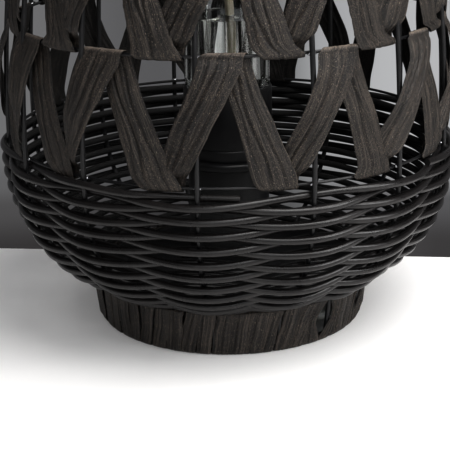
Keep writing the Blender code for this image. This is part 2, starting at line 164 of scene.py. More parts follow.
def through(knots, values, at):
    """A cubic through the knots that never overshoots them."""
    knots, values, at = np.asarray(knots, float), np.asarray(values, float), np.asarray(at, float)
    steps = np.diff(knots)
    slopes = np.diff(values, axis=0) / steps[:, None]
    tangents = np.zeros_like(values)
    tangents[0], tangents[-1] = slopes[0], slopes[-1]
    before, after = slopes[:-1], slopes[1:]
    first = (2 * steps[1:] + steps[:-1])[:, None]
    second = (steps[1:] + 2 * steps[:-1])[:, None]
    same_way = before * after > 0
    safe_before = np.where(same_way, before, 1.0)
    safe_after = np.where(same_way, after, 1.0)
    tangents[1:-1] = np.where(same_way, (first + second) / (first / safe_before + second / safe_after), 0.0)
    place = np.clip(np.searchsorted(knots, at, side="right") - 1, 0, len(steps) - 1)
    step = steps[place][:, None]
    share = ((at - knots[place])[:, None]) / step
    cube, square = share ** 3, share ** 2
    return ((2 * cube - 3 * square + 1) * values[place] + (cube - 2 * square + share) * step * tangents[place]
            + (3 * square - 2 * cube) * values[place + 1] + (cube - square) * step * tangents[place + 1])


def travelled(points, closed=False):
    """Distance along a line of points, with one more value for the way back if it is closed."""
    line = np.vstack([points, points[:1]]) if closed else points
    return np.concatenate([[0.0], np.cumsum(np.linalg.norm(np.diff(line, axis=0), axis=1))])


def skin(grid, along, around, closed_along=False, capped=False):
    """Points, faces and flow coordinates of a skin over a grid whose columns close round it."""
    rows, columns = grid.shape[:2]
    spans = rows if closed_along else rows - 1
    row, column = np.meshgrid(range(spans), range(columns), indexing="ij")
    next_row, next_column = (row + 1) % rows, (column + 1) % columns
    corners = [row * columns + column, row * columns + next_column,
               next_row * columns + next_column, next_row * columns + column]
    faces = np.stack(corners, -1).reshape(-1, 4)
    flow = np.stack([
        np.stack([along[row], around[column]], -1),
        np.stack([along[row], around[column + 1]], -1),
        np.stack([along[row + 1], around[column + 1]], -1),
        np.stack([along[row + 1], around[column]], -1)], 2).reshape(-1, 4, 2)
    points = grid.reshape(-1, 3)
    a, b, c, d = (points[faces[:, corner]] for corner in range(4))
    volume = np.einsum("ij,ij->", a, np.cross(b, c)) + np.einsum("ij,ij->", a, np.cross(c, d))
    outward = volume > 0
    if not outward:
        faces, flow = faces[:, ::-1], flow[:, ::-1]
    face_list, flow_list = faces.tolist(), [flow.reshape(-1, 2)]
    if capped:
        first = list(range(columns))
        last = [(rows - 1) * columns + column for column in range(columns)]
        for ring, place, turn in ((first, 0, outward), (last, -1, not outward)):
            face_list.append(ring[::-1] if turn else ring)
            flow_list.append(np.stack([np.full(columns, along[place]), around[:columns]], -1))
    return points, face_list, np.concatenate(flow_list)


def tube(path, radius, side, closed=False, sides=WIRE_SIDES):
    """A skin round a path.  Side is a direction that the path never takes."""
    if closed:
        ahead = np.roll(path, -1, 0) - np.roll(path, 1, 0)
    else:
        ahead = np.gradient(path, axis=0)
    ahead /= np.linalg.norm(ahead, axis=1, keepdims=True)
    side = np.broadcast_to(side, path.shape)
    side = side - np.einsum("ij,ij->i", side, ahead)[:, None] * ahead
    side /= np.linalg.norm(side, axis=1, keepdims=True)
    across = np.cross(ahead, side)
    angles = 2 * math.pi * np.arange(sides) / sides
    radius = np.broadcast_to(np.asarray(radius, float), (len(path), sides)) if np.ndim(radius) < 2 else radius
    grid = (path[:, None] + radius[..., None] * (np.cos(angles)[None, :, None] * side[:, None]
                                                 + np.sin(angles)[None, :, None] * across[:, None]))
    around = np.arange(sides + 1) / sides * 2 * math.pi * float(np.mean(radius))
    return skin(grid, travelled(path, closed), around, closed, not closed)


def rounded(corners):
    """Profile points through (radius, height, fillet) corners."""
    profile = []
    for index, (radius, height, fillet) in enumerate(corners):
        corner = np.array([radius, height])
        if fillet == 0:
            profile.append(corner)
            continue
        before = np.array(corners[index - 1][:2]) - corner
        after = np.array(corners[(index + 1) % len(corners)][:2]) - corner
        start = corner + before / np.linalg.norm(before) * fillet
        end = corner + after / np.linalg.norm(after) * fillet
        for share in np.linspace(0.0, 1.0, FILLET_STEPS):
            profile.append((1 - share) ** 2 * start + 2 * share * (1 - share) * corner + share ** 2 * end)
    return np.array(profile)


def turned(corners, closed=False, steps=TURNED_STEPS):
    """A turned skin.  Where its profile isn't closed, its ends are capped at the axis."""
    profile = rounded(corners)
    if not closed:
        profile[:, 0] = np.maximum(profile[:, 0], AXIS_R)
    angles = 2 * math.pi * np.arange(steps) / steps
    grid = polar(profile[:, None, 0], angles[None], profile[:, None, 1])
    along = travelled(np.column_stack([profile, np.zeros(len(profile))]), closed)
    around = np.append(angles, 2 * math.pi) * profile[:, 0].max()
    return skin(grid, along, around, closed, not closed)


def piece(name, skins, material, body="basket", replaces=(), painted_light=None, sharp=50.0):
    """One object from several skins, riding on a body."""
    points, faces, flows, count = [], [], [], 0
    for skin_points, skin_faces, flow in skins:
        points.append(skin_points)
        faces += [[corner + count for corner in face] for face in skin_faces]
        flows.append(flow)
        count += len(skin_points)
    mesh = bpy.data.meshes.new(name)
    mesh.from_pydata(np.concatenate(points).tolist(), [], faces)
    layer = mesh.uv_layers.new(name="flow")
    layer.data.foreach_set("uv", np.concatenate(flows).astype(np.float32).ravel())
    # Painted light: painted highlight on the ribbon's bends, less painted shade in its creases.
    if painted_light is not None:
        mesh.attributes.new("painted_light", "FLOAT", "POINT").data.foreach_set("value", painted_light.astype(np.float32))
    mesh.shade_smooth()
    mesh.set_sharp_from_angle(angle=math.radians(sharp))
    mesh.materials.append(material)
    obj = bpy.data.objects.new(name, mesh)
    bpy.context.scene.collection.objects.link(obj)
    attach(obj, body)
    if replaces:
        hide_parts(*replaces)


# ---------------------------------------------------------------- materials

LEVEL = (1.0, 1.0, 0.0)               # a scale that leaves only the distance from the axis
# Near-black for splits between the raffia's fibres, and for painted shade in its creases.
SPLIT_AND_CREASE_SHADE_BLACK = (0.0014, 0.0013, 0.0013, 1.0)
FLOOR_GLOW = 0.15                     # the studio table is lit a little from beneath,
GLOW_STARTS = FOOT_BOTTOM_RADIUS - 0.009    # though not inside the foot
GLOW_FULL = FOOT_BOTTOM_RADIUS + 0.001

class Look:
    """A material being made: its nodes, and its Principled shader."""

    def __init__(self, name):
        self.material = bpy.data.materials.new(name)
        self.material.use_nodes = True
        self.tree = self.material.node_tree
        self.shader = self.tree.nodes["Principled BSDF"]

    def set(self, node, inputs):
        for socket, value in inputs.items():
            if isinstance(value, bpy.types.NodeSocket):
                self.tree.links.new(value, node.inputs[socket])
            else:
                node.inputs[socket].default_value = value

    def add(self, kind, inputs, output=0, **settings):
        node = self.tree.nodes.new(kind)
        for setting, value in settings.items():
            setattr(node, setting, value)
        self.set(node, inputs)
        return node.outputs[output]

    def place(self, scale=(1.0, 1.0, 1.0), source="Object"):
        """Coordinates stretched by scale, from the object or from the piece's flow."""
        if source == "flow":
            vector = self.add("ShaderNodeUVMap", {}, uv_map="flow")
        else:
            vector = self.add("ShaderNodeTexCoord", {}, "Object")
        return self.add("ShaderNodeMapping", {"Vector": vector, "Scale": scale})

    def noise(self, vector, scale=1.0, detail=4.0, roughness=0.55):
        return self.add("ShaderNodeTexNoise", {"Vector": vector, "Scale": scale, "Detail": detail,
                                               "Roughness": roughness})

    def ramp(self, factor, *stops):
        node = self.tree.nodes.new("ShaderNodeValToRGB")
        elements = node.color_ramp.elements
        while len(elements) < len(stops):
            elements.new(0.5)
        for element, (place, colour) in zip(elements, stops):
            element.position = place
            element.color = (*colour, 1.0) if isinstance(colour, tuple) else (colour, colour, colour, 1.0)
        self.tree.links.new(factor, node.inputs["Fac"])
        return node.outputs["Color"]

    def mix(self, factor, first, second):
        node = self.tree.nodes.new("ShaderNodeMix")
        node.data_type = "RGBA"
        self.set(node, {0: factor, 6: first, 7: second})
        return node.outputs[2]

    def maths(self, operation, first, second):
        return self.add("ShaderNodeMath", {0: first, 1: second}, operation=operation)

    def bump(self, height, distance, strength=1.0, under=None):
        inputs = {"Height": height, "Distance": distance, "Strength": strength}
        if under is not None:
            inputs["Normal"] = under
        return self.add("ShaderNodeBump", inputs)


def inner_side(look):
    """1 on surfaces that face the basket's axis, for painted shade and a matt finish there."""
    outward = look.add("ShaderNodeVectorMath", {0: look.place(LEVEL)}, operation="NORMALIZE")
    normal = look.add("ShaderNodeNewGeometry", {}, "Normal")
    facing = look.add("ShaderNodeVectorMath", {0: normal, 1: outward}, "Value", operation="DOT_PRODUCT")
    return look.ramp(look.maths("ADD", look.maths("MULTIPLY", facing, 0.5), 0.5), (0.38, 1.0), (0.52, 0.0))


def cane_look():
    """Brown-black resin cane: satin, finely ribbed along its length, with a little dust, and painted shade on
    its sides that face into the basket.
    """
    look = Look("cane_resin")
    ribs = look.noise(look.place((14.0, 1500.0, 1.0), "flow"), detail=3.0)
    patches = look.noise(look.place(), 42.0)
    grain = look.noise(look.place(), 1400.0, 2.0)
    inner = inner_side(look)
    base = look.ramp(ribs, (0.30, (0.0045, 0.0038, 0.0038)), (0.72, (0.0110, 0.0092, 0.0090)))
    surface_colour = look.mix(look.ramp(patches, (0.45, 0.0), (0.75, 0.45)), base, (0.0165, 0.0138, 0.0132, 1.0))
    rough = look.ramp(look.mix(0.5, patches, grain), (0.3, 0.24), (0.7, 0.36))
    normal = look.bump(ribs, 0.00012, 0.7)
    look.set(look.shader, {
        # Painted shade: the sides that face into the basket are painted near-black.
        "Base Color": look.mix(inner, surface_colour, (0.0030, 0.0028, 0.0028, 1.0)),
        "Roughness": look.mix(inner, rough, (0.85, 0.85, 0.85, 1.0)),
        "Normal": look.bump(grain, 0.00005, 0.5, normal)})
    return look.material


def wire_look():
    """Black powder coat: fine orange peel, scuffed a little lighter in patches."""
    look = Look("wire_powder_coat")
    peel = look.noise(look.place(), 900.0, 2.0)
    lightening = look.noise(look.place(), 60.0, 6.0, 0.7)
    inner = inner_side(look)
    look.set(look.shader, {
        "Base Color": look.ramp(lightening, (0.40, (0.0035, 0.0035, 0.0042)), (0.80, (0.010, 0.0098, 0.0105))),
        "Roughness": look.mix(inner, look.ramp(lightening, (0.3, 0.28), (0.8, 0.48)), (0.8, 0.8, 0.8, 1.0)),
        "Normal": look.bump(peel, 0.00008, 0.6)})
    return look.material


def weld_look():
    """Bare bright weld metal under clear lacquer, dulled in spots."""
    look = Look("weld_bright")
    lumps = look.noise(look.place(), 700.0, 3.0)
    look.set(look.shader, {
        "Base Color": look.ramp(lumps, (0.40, (0.030, 0.030, 0.032)), (0.62, (0.52, 0.52, 0.54))),
        "Roughness": look.ramp(lumps, (0.3, 0.34), (0.7, 0.14)),
        "Metallic": 1.0,
        "Normal": look.bump(lumps, 0.0002, 0.7)})
    return look.material


def raffia_look():
    """Dyed raffia: fine long fibres, dust, painted glint specks, painted shade in its creases and on its
    inner side, and a painted highlight on the tops of its bends.
    """
    look = Look("raffia_ribbon")
    fibres = look.noise(look.place((13.0, 640.0, 1.0), "flow"), detail=5.0, roughness=0.8)
    bundles = look.noise(look.place((6.0, 190.0, 1.0), "flow"), detail=3.0)
    splits = look.noise(look.place((4.5, 360.0, 1.0), "flow"), detail=2.0)
    patches = look.noise(look.place(), 60.0, 5.0)
    dust = look.noise(look.place(), 1250.0, 2.0, 0.7)
    specks = look.noise(look.place((520.0, 1500.0, 1.0), "flow"), detail=1.0)
    # Painted light carried on the mesh: above 0 a painted highlight along the tops of the bends, below 0
    # painted shade in the creases.
    painted_light = look.add("ShaderNodeAttribute", {}, "Fac", attribute_name="painted_light")
    fold_highlight = look.maths("MAXIMUM", painted_light, 0.0)
    crease_shade = look.maths("MULTIPLY", painted_light, -1.0)
    inner = inner_side(look)
    base = look.ramp(fibres, (0.43, (0.0018, 0.0016, 0.0015)), (0.50, (0.0078, 0.0066, 0.0058)),
                     (0.57, (0.058, 0.048, 0.040)))
    shaded = look.mix(look.ramp(bundles, (0.46, 0.0), (0.60, 0.45)), base, (0.0190, 0.0155, 0.0130, 1.0))
    split = look.mix(look.ramp(splits, (0.545, 0.0), (0.59, 0.94)), shaded, SPLIT_AND_CREASE_SHADE_BLACK)
    # Painted shade: the creases are painted near-black.
    crease_shaded = look.mix(look.maths("MINIMUM", crease_shade, 0.92), split, SPLIT_AND_CREASE_SHADE_BLACK)
    # Dust in random patches, plus painted highlight that pales the tops of the bends.
    dust_and_highlight = look.ramp(look.maths("ADD", dust, look.maths("MULTIPLY", fold_highlight, 0.10)),
                      (0.53, 0.0), (0.62, 0.60))
    dusted_and_highlighted = look.mix(look.maths("MULTIPLY", dust_and_highlight, look.ramp(patches, (0.40, 0.30), (0.62, 1.0))), crease_shaded,
                      (0.150, 0.118, 0.094, 1.0))
    # Painted glints: random bright specks, more of them along the painted highlight at the tops of the bends.
    glints = look.ramp(look.maths("ADD", specks, look.maths("MULTIPLY", fold_highlight, 0.16)),
                       (0.66, 0.0), (0.73, 0.60))
    glinted = look.mix(glints, dusted_and_highlighted, (0.36, 0.29, 0.23, 1.0))
    # Painted highlight: the tops of the bends are painted paler along their fibres.
    lightening = look.maths("MULTIPLY", fold_highlight, look.ramp(fibres, (0.40, 0.15), (0.56, 0.75)))
    surface_colour = look.mix(lightening, glinted, (0.30, 0.25, 0.21, 1.0))
    relief = look.bump(look.maths("ADD", fibres, look.maths("MULTIPLY", bundles, 1.6)), 0.0009, 1.0)
    look.set(look.shader, {
        # Painted shade: the sides that face into the basket are painted much darker.
        "Base Color": look.mix(inner, surface_colour, look.mix(0.75, surface_colour, (0.002, 0.002, 0.002, 1.0))),
        "Roughness": look.mix(inner, look.ramp(fibres, (0.3, 0.38), (0.7, 0.60)), (0.9, 0.9, 0.9, 1.0)),
        "Normal": look.bump(dust, 0.0003, 0.9, relief)})
    look.shader.inputs["Specular IOR Level"].default_value = 0.40
    return look.material


def glass_look():
    """Clear glass with faint finger marks."""
    look = Look("jar_glass")
    marks = look.noise(look.place(), 45.0, 5.0, 0.6)
    look.set(look.shader, {
        "Base Color": look.ramp(marks, (0.3, (0.965, 0.985, 0.975)), (0.8, (0.985, 0.995, 0.990))),
        "Roughness": look.ramp(marks, (0.45, 0.0), (0.85, 0.06))})
    look.shader.inputs["Transmission Weight"].default_value = 1.0
    look.shader.inputs["IOR"].default_value = 1.5
    return look.material


def oil_look():
    """Clear lamp oil with the faintest warm tint."""
    look = Look("lamp_oil_clear")
    drift = look.noise(look.place((1.0, 1.0, 0.4)), 18.0, 2.0)
    look.set(look.shader, {
        "Base Color": look.ramp(drift, (0.3, (0.960, 0.955, 0.930)), (0.8, (0.985, 0.980, 0.960))),
        "Roughness": 0.0})
    look.shader.inputs["Transmission Weight"].default_value = 1.0
    look.shader.inputs["IOR"].default_value = 1.44
    return look.material


def rubber_look():
    """Dull black rubber."""
    look = Look("gasket_rubber")
    grain = look.noise(look.place(), 700.0, 3.0)
    look.set(look.shader, {
        "Base Color": look.ramp(grain, (0.3, (0.006, 0.006, 0.006)), (0.8, (0.014, 0.0135, 0.0135))),
        "Roughness": look.ramp(grain, (0.3, 0.62), (0.8, 0.82)),
        "Normal": look.bump(grain, 0.00008, 0.6)})
    return look.material


def wick_look():
    """Undyed cotton: warm and fibrous, a little darker in fine streaks and patches."""
    look = Look("wick_cotton")
    fibres = look.noise(look.place((120.0, 1800.0, 1.0), "flow"), detail=4.0, roughness=0.7)
    patches = look.noise(look.place(), 130.0)
    base = look.ramp(fibres, (0.28, (0.34, 0.28, 0.20)), (0.70, (0.72, 0.66, 0.54)))
    look.set(look.shader, {
        "Base Color": look.mix(look.ramp(patches, (0.4, 0.0), (0.8, 0.5)), base, (0.50, 0.42, 0.31, 1.0)),
        "Roughness": look.ramp(fibres, (0.3, 0.75), (0.7, 0.95)),
        "Normal": look.bump(fibres, 0.0003, 0.9)})
    look.shader.inputs["Sheen Weight"].default_value = 0.3
    return look.material


def burner_look():
    """Black-lacquered metal, finely turned."""
    look = Look("burner_lacquer")
    turning = look.noise(look.place((5200.0, 6.0, 1.0), "flow"), detail=2.0)
    patches = look.noise(look.place(), 90.0, 5.0)
    look.set(look.shader, {
        "Base Color": look.ramp(patches, (0.35, (0.012, 0.012, 0.013)), (0.80, (0.030, 0.029, 0.030))),
        "Roughness": look.ramp(turning, (0.3, 0.24), (0.7, 0.36)),
        "Metallic": 0.75,
        "Normal": look.bump(turning, 0.00003, 0.4)})
    return look.material


def holder_look():
    """The pedestal's and the holder's satin black enamel."""
    look = Look("holder_enamel")
    peel = look.noise(look.place(), 520.0, 2.0)
    dust = look.noise(look.place(), 75.0, 6.0, 0.7)
    look.set(look.shader, {
        "Base Color": look.ramp(dust, (0.40, (0.0050, 0.0050, 0.0056)), (0.85, (0.0125, 0.012, 0.0125))),
        "Roughness": look.ramp(dust, (0.3, 0.30), (0.8, 0.46)),
        "Normal": look.bump(peel, 0.00006, 0.4)})
    return look.material


def floor_look():
    """A pale, matt studio table."""
    look = Look("pale_table")
    cloud = look.noise(look.place(), 3.0, 5.0)
    grain = look.noise(look.place(), 260.0, 3.0)
    reach = look.add("ShaderNodeVectorMath", {0: look.place(LEVEL)}, "Value", operation="LENGTH")
    outside = look.ramp(reach, (GLOW_STARTS, 0.0), (GLOW_FULL, 1.0))
    look.set(look.shader, {
        "Base Color": look.ramp(cloud, (0.3, (0.80, 0.79, 0.785)), (0.7, (0.84, 0.835, 0.83))),
        "Roughness": 0.6,
        "Normal": look.bump(grain, 0.0001, 0.15),
        "Emission Strength": look.maths("MULTIPLY", outside, FLOOR_GLOW)})
    look.shader.inputs["Emission Color"].default_value = (1.0, 0.99, 0.985, 1.0)
    return look.material


# ---------------------------------------------------------------- stakes, rings and canes

STAKE_FOOT_GAP = 0.0008               # a visual stake's end above its CAD end
STAKE_BEND = 0.0012                   # radians
RING_BEND = 0.00025
RING_WAVE = 0.0003
WELD_OUT = 0.0016                     # the bead's centre from the ring's
WELD_LENGTH = 0.0033
WELD_R = 0.0019
WELD_STEPS = 9
WELD_SIDES = 10


def ring_line(name):
    """A ring's height and its radius."""
    height = middle(name).z
    return height, ring_radius(height) if name in RINGS else foot_stake_radius(height) - STAKE_OFFSET


def make_stakes(material, random):
    """Upright wires: straight in the foot, bent to the bowl, then along the basket's wall."""
    skins = []
    for angle in STAKE_ANGLES:
        heights = np.concatenate([
            np.linspace(bottom(STAKES[0]) + STAKE_FOOT_GAP, BOWL_FOOT_Z - 0.0020, 10),
            BOWL_FOOT_Z + (RING_HEIGHTS[0] - BOWL_FOOT_Z) * np.linspace(0.14, 1.0, 34) ** 2,
            np.linspace(RING_HEIGHTS[0], RING_HEIGHTS[3] + RING_R, 66)[1:]])
        radius = np.where(heights < BOWL_FOOT_Z, foot_stake_radius(heights),
                          np.where(heights < RING_HEIGHTS[0], bowl_radius(heights),
                                   ring_radius(np.minimum(heights, RING_HEIGHTS[3])) + STAKE_OFFSET))
        share = heights / heights[-1]
        bend = wander(share, (1, 2, 3), STAKE_BEND, random)
        side = np.array([math.cos(angle), math.sin(angle), 0.0])
        path = polar(radius, angle + bend, heights)
        skins.append(tube(path, STAKE_R, side, sides=CANE_SIDES))
    piece("stakes", skins, material, replaces=STAKES)


def make_rings(material, random):
    """Wire rings, never quite round or level."""
    places = np.arange(STAKE_COUNT * STEPS_PER_GAP) / STEPS_PER_GAP
    share = places / STAKE_COUNT
    skins = []
    for name in (*FOOT_RINGS, *RINGS):
        height, radius = ring_line(name)
        path = polar(radius + wander(share, (2, 3, 5), RING_BEND, random), gap_angle(places),
                     height + wander(share, (2, 3, 4), RING_WAVE, random))
        skins.append(tube(path, RING_R, UP, closed=True))
    piece("rings", skins, material, replaces=(*FOOT_RINGS, *RINGS))


def make_welds(material, random):
    """A small bead of weld where each ring meets a stake."""
    skins = []
    angles = 2 * math.pi * np.arange(WELD_SIDES) / WELD_SIDES
    turn = np.linspace(0.08, math.pi - 0.08, WELD_STEPS)
    for name in (*FOOT_RINGS, *RINGS):
        height, radius = ring_line(name)
        for angle in STAKE_ANGLES:
            out = np.array([math.sin(angle), -math.cos(angle), 0.0])
            side = np.array([math.cos(angle), math.sin(angle), 0.0])
            centre = out * (radius + WELD_OUT) + (height + random.normal() * 0.0003) * UP
            length = WELD_LENGTH + 0.0006 * random.random()
            lump = 1.0 + 0.12 * random.normal(size=(WELD_STEPS, WELD_SIDES))
            grid = (centre + (-np.cos(turn) * length)[:, None, None] * side
                    + (np.sin(turn)[:, None] * lump)[..., None] * WELD_R
                    * (np.cos(angles)[:, None] * out + np.sin(angles)[:, None] * (0.0, 0.0, 0.95))[None])
            skins.append(skin(grid, np.linspace(0, 0.01, WELD_STEPS + 1),
                              np.linspace(0, 0.01, WELD_SIDES + 1), capped=True))
    piece("weld_beads", skins, material)


def row_places():
    """Each woven row's (radius, height, lean) on the stakes' circle, down from the lower ring."""
    heights = np.linspace(RING_HEIGHTS[0], BOWL_FOOT_Z, 1200)
    radii = bowl_radius(heights)
    way = np.concatenate([[0.0], np.cumsum(np.hypot(np.diff(radii), np.diff(heights)))])
    targets, target = [], FIRST_ROW_DROP
    for row in range(len(STRANDS)):
        targets.append(target)
        target += ROW_PITCH_TOP + (ROW_PITCH_BOTTOM - ROW_PITCH_TOP) * (row + 1) / len(STRANDS)
    lean = np.arctan2(-np.gradient(radii), -np.gradient(heights))
    return [tuple(float(np.interp(target, way, values)) for values in (radii, heights, lean))
            for target in targets]


# The first row is a loose end: where it starts and stops, and how far it rides up or down
FIRST_ROW_PLACES = (2.5, 12.0, 13.0, 13.45, 13.7, 14.0, 14.36)
FIRST_ROW_LIFTS = (0.0, 0.0, 0.0048, 0.0005, -0.0010, -0.0022, -0.0020)
SECOND_ROW_BUMP = 0.0021              # the second row rides up where the first is missing
SECOND_ROW_BUMP_PLACE = 1.55
SECOND_ROW_BUMP_SPREAD = 0.6
SIDE_LIFT_TOP = 0.0007                # how much higher the top rows are on the +X side
SIDE_LIFT_BOTTOM = -0.0012            # and the bottom rows
SWING_WANDER = 0.03
SAG_WANDER = 0.00028
THICKNESS_WANDER = 0.012
CLOSING_WAYS = (0.0070, 0.0125)       # turns of the last cane that close the bowl, along the wall
CLOSING_SWING = 0.0026
CLOSING_WANDER = 0.0002


def closing_cane(way, side, random):
    """One more turn of the last cane, further down the wall."""
    radius, height, lean = row_places()[-1]
    radius, height = radius - way * math.sin(lean), height - way * math.cos(lean)
    places = np.arange(STAKE_COUNT * STEPS_PER_GAP) / STEPS_PER_GAP
    swing = side * CLOSING_SWING * np.cos(math.pi * places)
    height = height + wander(places / STAKE_COUNT, (3, 5, 8), CLOSING_WANDER, random)
    path = polar(radius + swing * math.cos(lean), gap_angle(places), height - swing * math.sin(lean))
    return tube(path, CANE_R, UP, closed=True, sides=CANE_SIDES)


def make_strands(material, random):
    """Each row is one cane that passes outside one stake and inside the next."""
    for row, (radius, height, lean) in enumerate(row_places()):
        side = -1 if row % 2 == 0 else 1
        loose = row == 0
        if loose:
            places = np.linspace(FIRST_ROW_PLACES[0], FIRST_ROW_PLACES[-1], 12 * STEPS_PER_GAP)
            lift = through(FIRST_ROW_PLACES, np.array(FIRST_ROW_LIFTS)[:, None], places)[:, 0]
        else:
            places = np.arange(STAKE_COUNT * STEPS_PER_GAP) / STEPS_PER_GAP
            side_lift = SIDE_LIFT_TOP + (SIDE_LIFT_BOTTOM - SIDE_LIFT_TOP) * row / len(STRANDS)
            lift = np.abs(side_lift) * 0.5 + side_lift * np.sin(gap_angle(places))
        if row == 1:
            lift = lift + SECOND_ROW_BUMP * np.exp(
                -((places - SECOND_ROW_BUMP_PLACE) / SECOND_ROW_BUMP_SPREAD) ** 2)
        share = places / STAKE_COUNT
        wave = side * np.cos(math.pi * places)
        swing = WEAVE_SWING * wave * (1.0 + wander(share, (2, 5, 7), SWING_WANDER, random))
        front = 0.5 + 0.5 * np.cos(gap_angle(places))
        sag = WEAVE_SAG * front * wave + wander(share, (3, 5, 8, 11), SAG_WANDER, random)
        path = polar(radius + swing * math.cos(lean) - sag * math.sin(lean), gap_angle(places),
                     height - swing * math.sin(lean) - sag * math.cos(lean) + lift)
        thick = CANE_R * (1.0 + wander(share, (4, 9, 13), THICKNESS_WANDER, random))
        skins = [tube(path, np.repeat(thick[:, None], CANE_SIDES, 1), UP, closed=not loose, sides=CANE_SIDES)]
        if row == len(STRANDS) - 1:
            skins += [closing_cane(way, -side if index % 2 == 0 else side, random)
                      for index, way in enumerate(CLOSING_WAYS)]
        piece(f"cane_row_{row + 1:02d}", skins, material, replaces=(STRANDS[row],))


# ---------------------------------------------------------------- raffia

RAFFIA_HALF = 0.00042                 # half the ribbon's thickness at its middle
FOLD_OUT = 0.0031                     # ribbon's centre from a ring's centre, outside and inside
FOLD_IN = 0.0025
RIBBON_COLUMNS = 32
FOOT_COLUMNS = 16
LEG_STEP = 0.0030
# Painted highlight: the ribbon is painted palest near the top of its bend round a ring, where light falls.
PAINTED_HIGHLIGHT_ANGLE = 68.0                    # where the ribbon is palest as it goes round a ring
PAINTED_HIGHLIGHT_SPREAD = 30.0
FOLD_STEP = 0.0011
FOLD_STATIONS = 8
SHIFT_JITTER = 0.010                  # gaps
RADIUS_JITTER = 0.0005
FRAY = 0.0032                         # gaps
CREASE_WANDER = 0.075                 # of the ribbon's width
# Each crease's depth, its width as a share of the ribbon's, and how dark its painted shade is
CREASES = ((0.0013, 0.040, 1.00), (0.0008, 0.033, 0.90), (0.0005, 0.030, 0.60))

# Hand-wound ribbon: shifts of each fold's left and right edges, in gaps, round from the front
LOWER_FOLD_SHIFTS = (
    {0: (0.01, 0.0), 1: (-0.058, 0.006), 2: (-0.065, -0.07), 11: (0.10, 0.0), 12: (0.05, -0.02),
     13: (0.033, 0.013)},
    {0: (0.07, 0.07), 1: (0.03, 0.12), 2: (0.14, 0.14), 12: (-0.09, 0.03), 13: (-0.02, 0.03)},
    {})
UPPER_FOLD_SHIFTS = (
    {0: (0.01, 0.045), 1: (0.12, 0.11), 2: (0.12, 0.09), 11: (-0.22, -0.09), 12: (-0.08, -0.053),
     13: (-0.035, -0.018)},
    {},
    {})


def fold(radius, height, start, stop, left, right):
    """Stations that carry the ribbon round a ring, from one angle to another about its wire."""
    for share in np.linspace(0.0, 1.0, FOLD_STATIONS):
        angle = math.radians(start + share * (stop - start))
        reach = FOLD_OUT + (FOLD_IN - FOLD_OUT) * share
        # Painted highlight, brightest near the top of the bend.
        painted_light = math.exp(-((math.degrees(angle) - PAINTED_HIGHLIGHT_ANGLE) / PAINTED_HIGHLIGHT_SPREAD) ** 2)
        yield (left[0] + share * (left[1] - left[0]), right[0] + share * (right[1] - right[0]),
               radius + reach * math.cos(angle), radius + reach * math.cos(angle),
               height + reach * math.sin(angle), 1.0, 0.22, painted_light)


def ribbon_stations(lower, upper, low_shift, high_shift):
    """One zigzag of the ribbon round two rings.

    Each station is (left, right, left radius, right radius, height, fold, pleat, painted highlight).  Left
    and right are places in gaps, and fold is 1 where the ribbon bends round a ring.  Pleat is the height
    of its creases, negative where its other face shows.  The painted highlight is how pale the bend is
    painted where light falls on it.
    """
    span = upper - lower
    low_left, low_right = low_shift
    high_left, high_right = high_shift

    def leg(left, right, rise, left_out, right_out, pleat):
        height = lower + rise * span
        wall = float(ring_radius(height))
        lean = min(max((rise - 0.1) / 0.8, 0.0), 1.0)
        return (left + low_left + lean * (high_left - low_left),
                right + low_right + lean * (high_right - low_right),
                wall + left_out, wall + right_out, height, 0.0, pleat, 0.0)

    def back_leg(left, right, rise, left_out, right_out, pleat):
        height = lower + rise * span
        wall = float(ring_radius(height))
        return (left + high_left * rise, right + high_right * rise,
                wall + left_out, wall + right_out, height, 0.0, pleat, 0.0)

    yield from fold(float(ring_radius(lower)), lower, 15.0, -185.0,
                    (0.475 + low_left, 0.600 + low_left), (0.860 + low_right, 0.875 + low_right))
    yield leg(0.615, 0.885, 0.060, -0.0026, -0.0022, -0.5)
    yield leg(0.632, 0.915, 0.110, -0.0014, 0.0038, -0.7)
    yield leg(0.655, 0.955, 0.170, 0.0002, 0.0078, -0.9)
    yield leg(0.700, 1.010, 0.270, 0.0010, 0.0092, -1.0)
    yield leg(0.770, 1.090, 0.400, 0.0056, 0.0094, -1.0)
    yield leg(0.850, 1.180, 0.550, 0.0094, 0.0090, -1.0)
    yield leg(0.940, 1.290, 0.720, 0.0092, 0.0082, -1.0)
    yield leg(1.010, 1.380, 0.860, 0.0080, 0.0062, -0.9)
    yield leg(1.036, 1.425, 0.945, 0.0050, 0.0044, -0.7)
    yield from fold(float(ring_radius(upper)), upper, -15.0, 190.0,
                    (1.045 + high_left, 1.180 + high_left), (1.430 + high_right, 1.490 + high_right))
    yield back_leg(1.210, 1.505, 0.930, -0.0027, -0.0027, 0.5)
    yield back_leg(1.265, 1.560, 0.760, -0.0012, -0.0010, 0.9)
    yield back_leg(1.355, 1.670, 0.500, 0.0024, 0.0028, 1.0)
    yield back_leg(1.420, 1.775, 0.250, 0.0036, 0.0040, 1.0)
    yield back_leg(1.462, 1.845, 0.075, 0.0036, 0.0040, 0.8)


